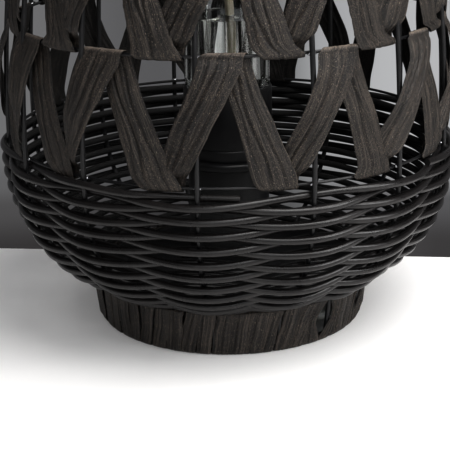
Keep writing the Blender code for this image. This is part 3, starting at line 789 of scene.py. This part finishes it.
def ribbon_skin(rows, along, closed, columns=RIBBON_COLUMNS):
    """A closed skin over a ribbon, from its stations at even steps.

    Each row is a station with left and right as angles, and then the places of its three creases
    across it.
    """
    left, right, left_radius, right_radius, height, _, pleat, painted_light, *creases = rows.T
    across = np.linspace(0.0, 1.0, columns)
    share = across[None]
    angle = left[:, None] + share * (right - left)[:, None]
    radius = left_radius[:, None] + share * (right_radius - left_radius)[:, None]
    surface = polar(radius, angle, np.repeat(height[:, None], columns, 1))
    if closed:
        ahead = np.roll(surface, -1, 0) - np.roll(surface, 1, 0)
    else:
        ahead = np.gradient(surface, axis=0)
    normal = np.cross(ahead, np.gradient(surface, axis=1))
    normal /= np.linalg.norm(normal, axis=2, keepdims=True)

    def bell(centre, width):
        return np.exp(-((share - centre[:, None]) / width) ** 2)

    relief = -0.0006 * (2 * share - 1) ** 4 * np.ones_like(radius)
    crease_shade = np.zeros_like(radius)
    for place, (depth, width, shade) in zip(creases, CREASES):
        relief -= depth * bell(place, width)
        relief += 0.55 * depth * bell(place - 2.3 * width, 1.5 * width)
        relief += 0.45 * depth * bell(place + 2.5 * width, 1.7 * width)
        # Painted shade along each crease.
        crease_shade += shade * bell(place, 0.75 * width)
    surface = surface + normal * (relief * pleat[:, None])[..., None]
    half = RAFFIA_HALF * (1.0 - 0.75 * (2 * share - 1) ** 8)
    front = surface + normal * half[..., None]
    back = surface - normal * half[..., None]
    grid = np.concatenate([front, back[:, ::-1]], 1)
    width = float(np.mean(np.linalg.norm(surface[:, -1] - surface[:, 0], axis=1)))
    around = np.concatenate([across, across[::-1], across[:1]]) * width
    # Painted light: painted highlight on the bends, less painted shade in the creases.
    shade = painted_light[:, None] - crease_shade * np.abs(pleat)[:, None]
    shade = np.concatenate([shade, shade[:, ::-1]], 1).ravel()
    return skin(grid, along, around, closed, not closed), shade


def make_raffia(tier, material, random):
    """One flat ribbon wound in a closed zigzag round two rings."""
    lower, upper = RING_HEIGHTS[tier], RING_HEIGHTS[tier + 1]
    jitter = random.normal(size=(STAKE_COUNT, 4)) * SHIFT_JITTER
    # How strong the painted highlight is on each gap's bends.
    highlight_strength = 0.45 + 0.55 * random.random(STAKE_COUNT)
    radius_jitter = random.normal(size=(STAKE_COUNT, 2)) * RADIUS_JITTER
    stations = []
    for gap in range(-1, STAKE_COUNT + 2):
        index = gap % STAKE_COUNT
        low = np.array(LOWER_FOLD_SHIFTS[tier].get(index, (0.0, 0.0))) + jitter[index, :2]
        high = np.array(UPPER_FOLD_SHIFTS[tier].get(index, (0.0, 0.0))) + jitter[index, 2:]
        for station in ribbon_stations(lower, upper, low, high):
            values = np.array(station)
            values[:2] += gap
            values[7] *= highlight_strength[index]
            if not values[5]:
                values[2:4] += radius_jitter[index] * abs(values[6])
            stations.append(values)
    stations = np.array(stations)
    per_gap = len(stations) // (STAKE_COUNT + 3)
    middle_line = polar(stations[:, 2:4].mean(1), gap_angle(stations[:, :2].mean(1)), stations[:, 4])
    knots = travelled(middle_line)
    start, stop = per_gap, per_gap * (STAKE_COUNT + 1)
    samples = [knots[start]]
    for index in range(start, stop):
        length = knots[index + 1] - knots[index]
        step = FOLD_STEP if stations[index, 5] and stations[index + 1, 5] else LEG_STEP
        count = max(1, round(length / step))
        samples += list(knots[index] + length * np.arange(1, count + 1) / count)
    samples = np.array(samples)
    values = through(knots, stations, samples[:-1])
    share = (samples[:-1] - samples[0]) / (samples[-1] - samples[0])
    fray = [wander(share, (97, 151, 233, 389), FRAY, random) for _ in range(2)]
    values[:, 0] += fray[0] * (1.0 - 0.5 * values[:, 5])
    values[:, 1] += fray[1] * (1.0 - 0.5 * values[:, 5])
    values[:, 2] += wander(share, (19, 31, 47), 0.00035, random) * (1.0 - values[:, 5])
    values[:, 3] += wander(share, (17, 29, 43), 0.00035, random) * (1.0 - values[:, 5])
    values[:, 0], values[:, 1] = gap_angle(values[:, 0]), gap_angle(values[:, 1])
    creases = [centre + wander(share, waves, CREASE_WANDER, random)
               for centre, waves in ((0.38, (11, 23, 37, 53)), (0.68, (13, 27, 41)), (0.17, (9, 21, 47)))]
    made, shade = ribbon_skin(np.column_stack([values, *creases]), samples - samples[0], True)
    piece(f"raffia_band_{tier + 1}", [made], material, replaces=(TIERS[tier],), painted_light=shade,
          sharp=180.0)


# The foot's bands of ribbon: how many there are, how they lean, and where they part
FOOT_BANDS = 54
FOOT_BAND_WIDTH = 1.16                # of an even share of the foot
FOOT_TUCK = 0.0050
FOOT_FOLD = 0.0105
FOOT_STATIONS = 46
FOOT_EDGE_WANDER = 0.0045             # radians
FOOT_EDGE_WAVE = 0.07                 # the length that an edge's wander repeats over
PARTING_HEIGHT = 0.32                 # of the foot's height
FOOT_LEAN = math.radians(3.6)         # how far round a band's top is ahead of its bottom
# Each gap's degrees from the front, its share of the way up the foot, and its width in degrees
FOOT_PARTINGS = ((-34.0, 0.6, 1.0), (-8.6, 0.35, 1.0), (17.5, 0.62, 1.3), (42.0, 0.55, 8.5),
                 (66.0, 0.70, 11.0))


def make_foot(material, random):
    """The foot's bands, each tucked in behind the top edge and folded under the bottom one."""
    pitch = 2 * math.pi / FOOT_BANDS
    skins, shades = [], []
    for band in range(FOOT_BANDS):
        centre = pitch * (band + 0.5) + random.normal() * 0.010
        width = pitch * FOOT_BAND_WIDTH * (1.0 + 0.10 * random.normal())
        lean = FOOT_LEAN * (1.0 + 0.45 * math.sin(centre)) + random.normal() * 0.020
        proud = 0.0006 * random.normal()
        # Each point is (radius, height, how folded, pleat, painted highlight); the top bend gets a little
        # painted highlight.
        path = [(FOOT_TOP_RADIUS - 0.0036, FOOT_HEIGHT - FOOT_TUCK, 1.0, 0.4, 0.0),
                (FOOT_TOP_RADIUS - 0.0030, FOOT_HEIGHT - 0.0016, 1.0, 0.2, 0.0),
                (FOOT_TOP_RADIUS - 0.0016, FOOT_HEIGHT + 0.0001, 1.0, 0.2, 0.1),
                (FOOT_TOP_RADIUS - 0.0002, FOOT_HEIGHT - 0.0016, 0.6, 0.5, 0.0)]
        for share in (0.80, 0.62, 0.45, 0.28, 0.12):
            height = FOOT_HEIGHT * share
            path.append((float(foot_radius(height)) - 0.0001 + proud, height, 0.0, 1.0, 0.0))
        path += [(FOOT_BOTTOM_RADIUS, 0.0026, 0.5, 0.5, 0.0),
                 (FOOT_BOTTOM_RADIUS - 0.0010, 0.0010, 1.0, 0.2, 0.0),
                 (FOOT_BOTTOM_RADIUS - 0.0030, 0.0006, 0.6, 0.1, 0.0),
                 (FOOT_BOTTOM_RADIUS - FOOT_FOLD, 0.0006, 0.2, 0.1, 0.0)]
        path = np.array(path)
        knots = travelled(np.column_stack([path[:, :2], np.zeros(len(path))]))
        samples = np.linspace(0.0, knots[-1], FOOT_STATIONS)
        radius, height, folded, pleat, painted_light = through(knots, path, samples).T
        rise = np.clip(height / FOOT_HEIGHT, 0.0, 1.0)
        turn = lean * (rise - 0.5)

        def edge_wander():
            return wander(samples / FOOT_EDGE_WAVE, (1, 2, 3), FOOT_EDGE_WANDER, random)

        left = centre + turn - width / 2 + edge_wander()
        right = centre + turn + width / 2 + edge_wander()
        for angle, level, opening in FOOT_PARTINGS:
            parting = math.radians(angle) % (2 * math.pi)
            open_here = math.radians(opening) * np.exp(-((rise - level) / PARTING_HEIGHT) ** 2)
            overlap = (width - pitch) * math.exp(-((centre - parting) / pitch) ** 2)
            if 0 <= centre - parting < pitch:
                left = np.maximum(left, left + overlap + open_here / 2 - 0.2 * (centre - parting))
            elif 0 < parting - centre < pitch:
                right = np.minimum(right, right - overlap - open_here / 2 + 0.2 * (parting - centre))
        step_out = 0.0010 * (1.0 - folded * 0.5)
        creases = [np.full(len(samples), place + 0.07 * random.normal()) for place in (0.36, 0.72, 0.15)]
        rows = np.column_stack([left, right, radius - step_out, radius + step_out * 0.2, height, folded,
                                pleat, painted_light, *creases])
        (points, faces, flow), shade = ribbon_skin(rows, samples, False, FOOT_COLUMNS)
        skins.append((points, faces, flow + (0.0, band * 0.05)))
        shades.append(shade)
    piece("foot_bands", skins, material, replaces=("foot_wrap",), painted_light=np.concatenate(shades),
          sharp=180.0)


# ---------------------------------------------------------------- plate, pedestal and holder

SCREW_HEAD_R = 0.0038
SCREW_HEAD_HEIGHT = 0.0020
SCREW_SHANK_R = 0.0020
SCREW_STEPS = 64
PEDESTAL_R = 0.0360
SHEET_WALL = 0.0015
SEAM_Z = 0.1555
SEAM_HALF = 0.0007
SEAM_DEPTH = 0.0006
HOLDER_RECESS_R = 0.0362
HOLDER_RECESS_DEPTH = 0.0025


def make_plate(material):
    """The base plate, stepped down a little at its rim."""
    low, high = bottom("base_plate"), top("base_plate")
    rim = outer("base_plate")
    corners = [(0.0, high, 0.0), (rim - 0.0040, high, 0.0008), (rim - 0.0028, high - 0.0005, 0.0008),
               (rim, high - 0.0005, 0.0006), (rim, low, 0.0004), (0.0, low, 0.0)]
    piece("plate_disc", [turned(corners, steps=FINE_TURNED_STEPS)], material,
          replaces=("base_plate",))


def make_screws(material):
    """Pan-head screws with a cross cut into each head."""
    for name in SCREWS:
        place = middle(name)
        seat = top(name) - SCREW_HEAD_HEIGHT
        rings = np.concatenate([np.linspace(0.0001, 0.92, 12), np.linspace(0.95, 1.0, 4)])
        angles = 2 * math.pi * np.arange(SCREW_STEPS) / SCREW_STEPS
        reach = rings[:, None] * SCREW_HEAD_R
        dome = SCREW_HEAD_HEIGHT * np.sqrt(np.clip(1.0 - (rings * 0.985) ** 4, 0.0, 1.0))[:, None]
        x, y = reach * np.cos(angles), reach * np.sin(angles)
        arm = np.minimum(np.abs(x), np.abs(y)) < 0.00042
        cut = arm & (np.maximum(np.abs(x), np.abs(y)) < 0.0021)
        head = np.stack([x, y, np.where(cut, dome - 0.0009, dome)], -1)
        shank = [(SCREW_HEAD_R, 0.0), (SCREW_SHANK_R, 0.0), (SCREW_SHANK_R, -0.0064), (0.0012, -0.0070)]
        below = np.stack([np.stack([radius * np.cos(angles), radius * np.sin(angles),
                                    np.full(SCREW_STEPS, height)], -1) for radius, height in shank])
        grid = np.concatenate([head, below]) + (place.x, place.y, seat)
        rows = len(grid)
        skins = [skin(grid, np.linspace(0, 0.01, rows), np.linspace(0, 0.02, SCREW_STEPS + 1), capped=True)]
        piece(name.replace("plate_screw", "pan_screw"), skins, material, replaces=(name,))


def make_pedestal(material):
    """The flanged tube, and the wider collar on it."""
    wall = SHEET_WALL
    low, high = bottom("pedestal_tube"), top("pedestal_tube")
    flange = outer("pedestal_tube")
    corners = [(PEDESTAL_R, high, 0.0006), (PEDESTAL_R, low + wall, 0.0030), (flange, low + wall, 0.0006),
               (flange, low, 0.0003), (PEDESTAL_R - wall, low, 0.0008), (PEDESTAL_R - wall, high, 0.0004)]
    piece("pedestal", [turned(corners, closed=True)], material, replaces=("pedestal_tube",))

    low, high = bottom("pedestal_collar"), top("pedestal_collar")
    rim = outer("pedestal_collar")
    seat, ledge = low + 0.0060, high - 0.0040
    bore, boss = PEDESTAL_R - wall - 2 * TOUCH_GAP, outer("jar_holder") - wall - 2 * TOUCH_GAP
    corners = [(0.0, high, 0.0), (boss, high, 0.0005), (boss, ledge, 0.0004), (rim, ledge, 0.0026),
               (rim, seat, 0.0016), (bore, seat, 0.0004), (bore, low, 0.0006), (0.0, low, 0.0)]
    piece("collar", [turned(corners)], material, replaces=("pedestal_collar",))


def make_holder(material):
    """The cup under the jar, with a seam line round it."""
    low, high = bottom("jar_holder"), top("jar_holder")
    rim = outer("jar_holder")
    wall, recess = SHEET_WALL, HOLDER_RECESS_R
    floor = high - HOLDER_RECESS_DEPTH
    corners = [(0.0, floor, 0.0), (recess, floor, 0.0005), (recess, high, 0.0006), (rim, high, 0.0022),
               (rim, SEAM_Z + SEAM_HALF, 0.0003), (rim - SEAM_DEPTH, SEAM_Z, 0.0002),
               (rim, SEAM_Z - SEAM_HALF, 0.0003),
               (rim, low, 0.0006), (rim - wall, low, 0.0003), (rim - wall, floor - 0.0020, 0.0020),
               (0.0, floor - 0.0020, 0.0)]
    piece("holder_cup", [turned(corners)], material, replaces=("jar_holder",))


# ---------------------------------------------------------------- jar, oil and burner

JAR_WALL = 0.0025
JAR_NECK_R = 0.0240
JAR_BODY_TOP = 0.3000
WELL_FLOOR = 0.2125                   # the oil leaves room for the wick down to here
WELL_GAP = 0.0002
OIL_OVERLAP = 0.00006                 # the oil reaches this far into the glass
WICK_R = 0.0040
WICK_LEAN = 0.0028                    # how far the wick hangs to +X below the burner
WICK_LEAN_HEIGHTS = (0.270, 0.302)
WICK_STATIONS = 260
WICK_SIDES = 48
PLAIT_PITCH = 0.0075
TUBE_BORE = 0.0056                    # the wick tube's bore and wall
TUBE_WALL = 0.0010
KNURL_COUNT = 60
KNURL_DEPTH = 0.0006
KNURL_STEPS = 288


def wick_lean(heights):
    """How far the wick is off the axis at some heights."""
    low, high = WICK_LEAN_HEIGHTS
    share = np.clip((high - heights) / (high - low), 0.0, 1.0)
    return WICK_LEAN * share * share * (3 - 2 * share)


def make_jar(glass, oil):
    """The jar, and the oil in it with a well that the wick hangs in."""
    low, mouth = bottom("fuel_jar"), top("fuel_jar")
    rim = outer("fuel_jar")
    inner, neck_inner = rim - JAR_WALL, JAR_NECK_R - JAR_WALL
    floor, shoulder = low + 0.0040, JAR_BODY_TOP + 0.0150
    corners = [(0.0, floor + 0.0010, 0.0), (inner * 0.6, floor + 0.0004, 0.0060), (inner, floor, 0.0022),
               (inner, JAR_BODY_TOP, 0.0070), (neck_inner, shoulder - 0.0015, 0.0050),
               (neck_inner, mouth, 0.0009), (JAR_NECK_R, mouth, 0.0009), (JAR_NECK_R, shoulder, 0.0030),
               (rim, JAR_BODY_TOP + 0.0035, 0.0075), (rim, low, 0.0038), (rim * 0.75, low, 0.0020),
               (rim * 0.68, low + 0.0008, 0.0020), (0.0, low + 0.0012, 0.0)]
    piece("jar_glass_body", [turned(corners, steps=FINE_TURNED_STEPS)], glass, body="jar",
          replaces=("fuel_jar",))

    level = top("lamp_oil")
    fit, well = inner + OIL_OVERLAP, WICK_R + WELL_GAP
    corners = [(0.0, WELL_FLOOR, 0.0), (well, WELL_FLOOR, 0.0004),
               (well, level + 0.0003, 0.0003), (WICK_R + 0.0014, level - 0.0004, 0.0004),
               (fit - 0.0020, level - 0.0004, 0.0010),
               (fit, level + 0.0004, 0.0002), (fit, floor, 0.0022), (inner * 0.6, floor + 0.00035, 0.0060),
               (0.0, floor + 0.00095, 0.0)]
    points, faces, flow = turned(corners, steps=FINE_TURNED_STEPS)
    in_well = np.hypot(points[:, 0], points[:, 1]) < WICK_R + 0.0016
    points[:, 0] += np.where(in_well & (points[:, 2] > WELL_FLOOR - 0.0001), wick_lean(points[:, 2]), 0.0)
    piece("oil_fill", [(points, faces, flow)], oil, body="jar", replaces=("lamp_oil",))


def make_wick(material, random):
    """A plaited cotton wick with a rounded tip."""
    low, high = bottom("wick"), top("wick")
    heights = np.linspace(low, high, WICK_STATIONS)
    angles = 2 * math.pi * np.arange(WICK_SIDES) / WICK_SIDES
    rise = heights[:, None] / PLAIT_PITCH
    plait = (np.abs(np.sin(4 * (angles + 2 * math.pi * rise / 8)))
             + np.abs(np.sin(4 * (angles - 2 * math.pi * rise / 8)))) * 0.5
    radius = WICK_R * (0.93 + 0.07 * plait) + random.normal(size=plait.shape) * 0.00004
    end = np.minimum((high - heights) / 0.0012, 1.0)[:, None]
    radius = radius * np.sqrt(np.clip(1 - (1 - end) ** 2, 0.02, 1.0))
    path = np.column_stack([wick_lean(heights), np.zeros(len(heights)), heights])
    yarns = tube(path, radius, np.array([1.0, 0.0, 0.0]), sides=WICK_SIDES)
    piece("wick_plait", [yarns], material, body="wick", replaces=("wick",))


def knurled(corners, low, high):
    """A turned skin with upright ribs between two heights."""
    points, faces, flow = turned(corners, closed=True, steps=KNURL_STEPS)
    angle = np.arctan2(points[:, 0], -points[:, 1])
    radius = np.hypot(points[:, 0], points[:, 1])
    outside = (radius > radius.max() - 0.0004) & (points[:, 2] > low) & (points[:, 2] < high)
    scale = np.where(outside, 1.0 - KNURL_DEPTH * (0.5 - 0.5 * np.cos(KNURL_COUNT * angle)) / radius, 1.0)
    points = points * np.column_stack([scale, scale, np.ones_like(scale)])
    return points, faces, flow


def make_burner(metal, rubber):
    """The knurled cap, its wick tube and the gasket under it."""
    low, high = bottom("burner_cap"), top("burner_cap")
    rim = outer("burner_cap")
    skirt = JAR_NECK_R + 2 * TOUCH_GAP
    hole = TUBE_BORE + TUBE_WALL + TOUCH_GAP
    under = high - 0.0024
    side = [(rim, height, 0.0) for height in np.linspace(high - 0.0026, low + 0.0018, 9)]
    corners = [(hole, high, 0.0003), (rim * 0.62, high, 0.0010), (rim * 0.68, high - 0.0005, 0.0010),
               (rim, high, 0.0016), *side, (rim, low, 0.0006), (skirt, low, 0.0004), (skirt, under, 0.0010),
               (hole, under, 0.0003)]
    skins = [knurled(corners, low + 0.0015, high - 0.0022)]
    piece("cap_knurled", skins, metal, body="burner", replaces=("burner_cap",))

    low, high = bottom("wick_tube"), top("wick_tube")
    flange, flange_top = outer("wick_tube"), top("burner_cap") + TOUCH_GAP + 0.0014
    out = TUBE_BORE + TUBE_WALL
    corners = [(TUBE_BORE, high, 0.0003), (out + 0.0003, high, 0.0004), (out + 0.0003, high - 0.0012, 0.0004),
               (out, high - 0.0018, 0.0004), (out, flange_top, 0.0008), (flange, flange_top, 0.0005),
               (flange, flange_top - 0.0014, 0.0002), (out, flange_top - 0.0014, 0.0001), (out, low, 0.0003),
               (TUBE_BORE, low, 0.0003)]
    piece("tube_wick", [turned(corners, closed=True, steps=SMALL_TURNED_STEPS)], metal,
          body="burner", replaces=("wick_tube",))

    low, high, rim = bottom("jar_gasket"), top("jar_gasket"), outer("jar_gasket")
    inner = JAR_NECK_R - 0.0045
    corners = [(rim, high, 0.0004), (rim, low, 0.0004), (inner, low, 0.0004), (inner, high, 0.0004)]
    piece("gasket_ring", [turned(corners, closed=True)], rubber, body="gasket",
          replaces=("jar_gasket",))


def make_snuffer(metal):
    """A dome over the wick tube, with a knob."""
    low, high, rim = bottom("snuffer_cap"), top("snuffer_cap"), outer("snuffer_cap")
    wall = 0.0014
    inner = rim - wall
    corners = [(0.0, high, 0.0), (rim, high, 0.0082), (rim, low + 0.0016, 0.0004),
               (rim, low + 0.0010, 0.0003), (rim, low, 0.0004), (inner, low, 0.0004),
               (inner, high - wall, 0.0078), (0.0, high - wall, 0.0)]
    piece("snuffer_dome", [turned(corners)], metal, body="snuffer", replaces=("snuffer_cap",))

    low, high, rim = bottom("snuffer_knob"), top("snuffer_knob"), outer("snuffer_knob")
    height = high - low
    corners = [(0.0, high, 0.0), (rim * 0.8, high, 0.0022), (rim, low + height * 0.72, 0.0026),
               (rim * 0.72, low + height * 0.42, 0.0016), (rim * 0.48, low + height * 0.25, 0.0012),
               (rim * 0.62, low + 0.0006, 0.0006), (rim * 0.62, low, 0.0002), (0.0, low, 0.0)]
    piece("snuffer_grip", [turned(corners, steps=SMALL_TURNED_STEPS)], metal, body="snuffer",
          replaces=("snuffer_knob",))


# ---------------------------------------------------------------- floor, light and camera

TABLE_EDGE_Y = 0.136                  # the table's back edge, before the table is turned
TABLE_TURN = math.radians(-5.975)
TABLE_FRONT_Y = -1.9
TABLE_HALF_WIDTH = 1.9
TABLE_THICKNESS = 0.03
PRINT_GAMMA = 0.80                    # below 1, so it deepens the shadows


def make_table(material):
    """The studio table, whose back edge shows behind the basket."""
    mesh = bpy.data.meshes.new("table")
    shape = bmesh.new()
    bmesh.ops.create_cube(shape, size=1.0)
    for corner in shape.verts:
        corner.co = Vector((corner.co.x * 2 * TABLE_HALF_WIDTH,
                            TABLE_EDGE_Y if corner.co.y > 0 else TABLE_FRONT_Y,
                            0.0 if corner.co.z > 0 else -TABLE_THICKNESS))
    bmesh.ops.bevel(shape, geom=shape.edges[:], offset=0.003, segments=3, affect="EDGES")
    shape.to_mesh(mesh)
    shape.free()
    mesh.materials.append(material)
    table = bpy.data.objects.new("table", mesh)
    table.rotation_euler.z = TABLE_TURN
    bpy.context.scene.collection.objects.link(table)


def make_world():
    """A grey studio wall, lighter above and a little to the right of the basket."""
    world = bpy.data.worlds.new("studio")
    bpy.context.scene.world = world
    world.use_nodes = True
    tree = world.node_tree
    background = tree.nodes["Background"]
    direction = tree.nodes.new("ShaderNodeTexCoord").outputs["Generated"]
    parts = tree.nodes.new("ShaderNodeSeparateXYZ")
    tree.links.new(direction, parts.inputs[0])

    def ramp(factor, stops):
        node = tree.nodes.new("ShaderNodeValToRGB")
        node.color_ramp.interpolation = "EASE"
        elements = node.color_ramp.elements
        while len(elements) < len(stops):
            elements.new(0.5)
        for element, (place, shade) in zip(elements, stops):
            element.position = place
            element.color = (*shade, 1.0)
        tree.links.new(factor, node.inputs["Fac"])
        return node.outputs["Color"]

    def scaled(value, low, high):
        node = tree.nodes.new("ShaderNodeMapRange")
        tree.links.new(value, node.inputs["Value"])
        node.inputs["From Min"].default_value = low
        node.inputs["From Max"].default_value = high
        return node.outputs["Result"]

    upward = ramp(scaled(parts.outputs["Z"], -0.40, 0.10), [
        (0.0, (0.17, 0.155, 0.155)), (0.13, (0.30, 0.285, 0.285)), (0.188, (0.54, 0.53, 0.53)),
        (0.222, (0.78, 0.78, 0.78)), (0.27, (1.0, 1.0, 1.0)), (0.60, (1.0, 1.0, 1.0)),
        (1.0, (0.80, 0.80, 0.81))])
    steeper = ramp(scaled(parts.outputs["Z"], -0.40, 0.10), [
        (0.0, (0.08, 0.074, 0.074)), (0.13, (0.15, 0.143, 0.143)), (0.19, (0.27, 0.265, 0.27)),
        (0.225, (0.70, 0.70, 0.70)), (0.265, (1.0, 1.0, 1.0)), (0.60, (1.0, 1.0, 1.0)),
        (1.0, (0.80, 0.80, 0.81))])
    lowered = tree.nodes.new("ShaderNodeMix")
    lowered.data_type = "RGBA"
    tree.links.new(scaled(parts.outputs["X"], 0.04, 0.15), lowered.inputs[0])
    tree.links.new(upward, lowered.inputs[6])
    tree.links.new(steeper, lowered.inputs[7])
    sideways = ramp(scaled(parts.outputs["X"], -0.30, 0.30), [
        (0.0, (0.222, 0.222, 0.226)), (0.24, (0.222, 0.222, 0.226)), (0.42, (0.146, 0.146, 0.151)),
        (0.57, (0.29, 0.295, 0.30)), (0.62, (0.44, 0.445, 0.455)), (0.70, (0.535, 0.54, 0.55)),
        (0.80, (0.535, 0.54, 0.55)), (1.0, (0.27, 0.27, 0.275))])
    product = tree.nodes.new("ShaderNodeMix")
    product.data_type = "RGBA"
    product.blend_type = "MULTIPLY"
    product.inputs[0].default_value = 1.0
    tree.links.new(lowered.outputs[2], product.inputs[6])
    tree.links.new(sideways, product.inputs[7])
    tree.links.new(product.outputs[2], background.inputs["Color"])
    background.inputs["Strength"].default_value = 1.0


def make_light(name, place, aim, size, power, colour):
    """A round soft light that faces a point."""
    data = bpy.data.lights.new(name, "AREA")
    data.shape = "DISK"
    data.size = size
    data.energy = power
    data.color = colour
    light = bpy.data.objects.new(name, data)
    bpy.context.scene.collection.objects.link(light)
    light.location = place
    light.rotation_mode = "QUATERNION"
    light.rotation_quaternion = (Vector(aim) - Vector(place)).to_track_quat("-Z", "Y")


def make_lights():
    """Three broad soft lights, all from above and mostly from the front right."""
    aim = (0.0, 0.0, 0.14)
    make_light("overhead", (0.60, -0.50, 1.60), aim, 1.4, 35.0, (1.0, 0.99, 0.975))
    make_light("key", (1.50, -0.80, 0.85), aim, 0.8, 17.0, (1.0, 1.0, 1.0))
    make_light("fill", (0.10, -1.80, 1.30), aim, 1.8, 14.0, (0.98, 0.99, 1.0))


# Camera: where it stands, how it is turned, and its lens for a 36 mm sensor
CAMERA_DISTANCE = 1.1725
CAMERA_HEIGHT = 0.4771
CAMERA_PITCH = math.radians(18.89)
CAMERA_YAW = math.radians(-0.21)
CAMERA_ROLL = math.radians(-0.98)
CAMERA_LENS = 109.03


def make_camera():
    """The camera in front, turned by its pitch, its yaw and its roll."""
    data = bpy.data.cameras.new("camera")
    data.sensor_width = 36.0
    data.lens = CAMERA_LENS
    data.dof.use_dof = False
    data.clip_start, data.clip_end = 0.05, 30.0
    camera = bpy.data.objects.new("camera", data)
    bpy.context.scene.collection.objects.link(camera)
    ahead = Vector((math.sin(CAMERA_YAW) * math.cos(CAMERA_PITCH),
                    math.cos(CAMERA_YAW) * math.cos(CAMERA_PITCH), -math.sin(CAMERA_PITCH)))
    right = Vector((math.cos(CAMERA_YAW), -math.sin(CAMERA_YAW), 0.0))
    up = right.cross(ahead)
    turned_right = math.cos(CAMERA_ROLL) * right + math.sin(CAMERA_ROLL) * up
    turned_up = math.cos(CAMERA_ROLL) * up - math.sin(CAMERA_ROLL) * right
    axes = Matrix((turned_right, turned_up, -ahead)).transposed().to_4x4()
    camera.matrix_world = Matrix.Translation((0.0, -CAMERA_DISTANCE, CAMERA_HEIGHT)) @ axes
    bpy.context.scene.camera = camera


def main():
    """Everything in the scene, always in this order, because the pieces share one random series."""
    random = np.random.default_rng(SEED)
    cane, wire, raffia = cane_look(), wire_look(), raffia_look()
    enamel, metal = holder_look(), burner_look()
    make_stakes(wire, random)
    make_rings(wire, random)
    make_welds(weld_look(), random)
    make_strands(cane, random)
    for tier in range(len(TIERS)):
        make_raffia(tier, raffia, random)
    make_foot(raffia, random)
    make_plate(enamel)
    make_screws(metal)
    make_pedestal(enamel)
    make_holder(enamel)
    make_jar(glass_look(), oil_look())
    make_wick(wick_look(), random)
    make_burner(metal, rubber_look())
    make_snuffer(metal)
    make_table(floor_look())
    make_world()
    make_lights()
    make_camera()
    bpy.context.scene.view_settings.view_transform = "Standard"
    bpy.context.scene.view_settings.gamma = PRINT_GAMMA


main()
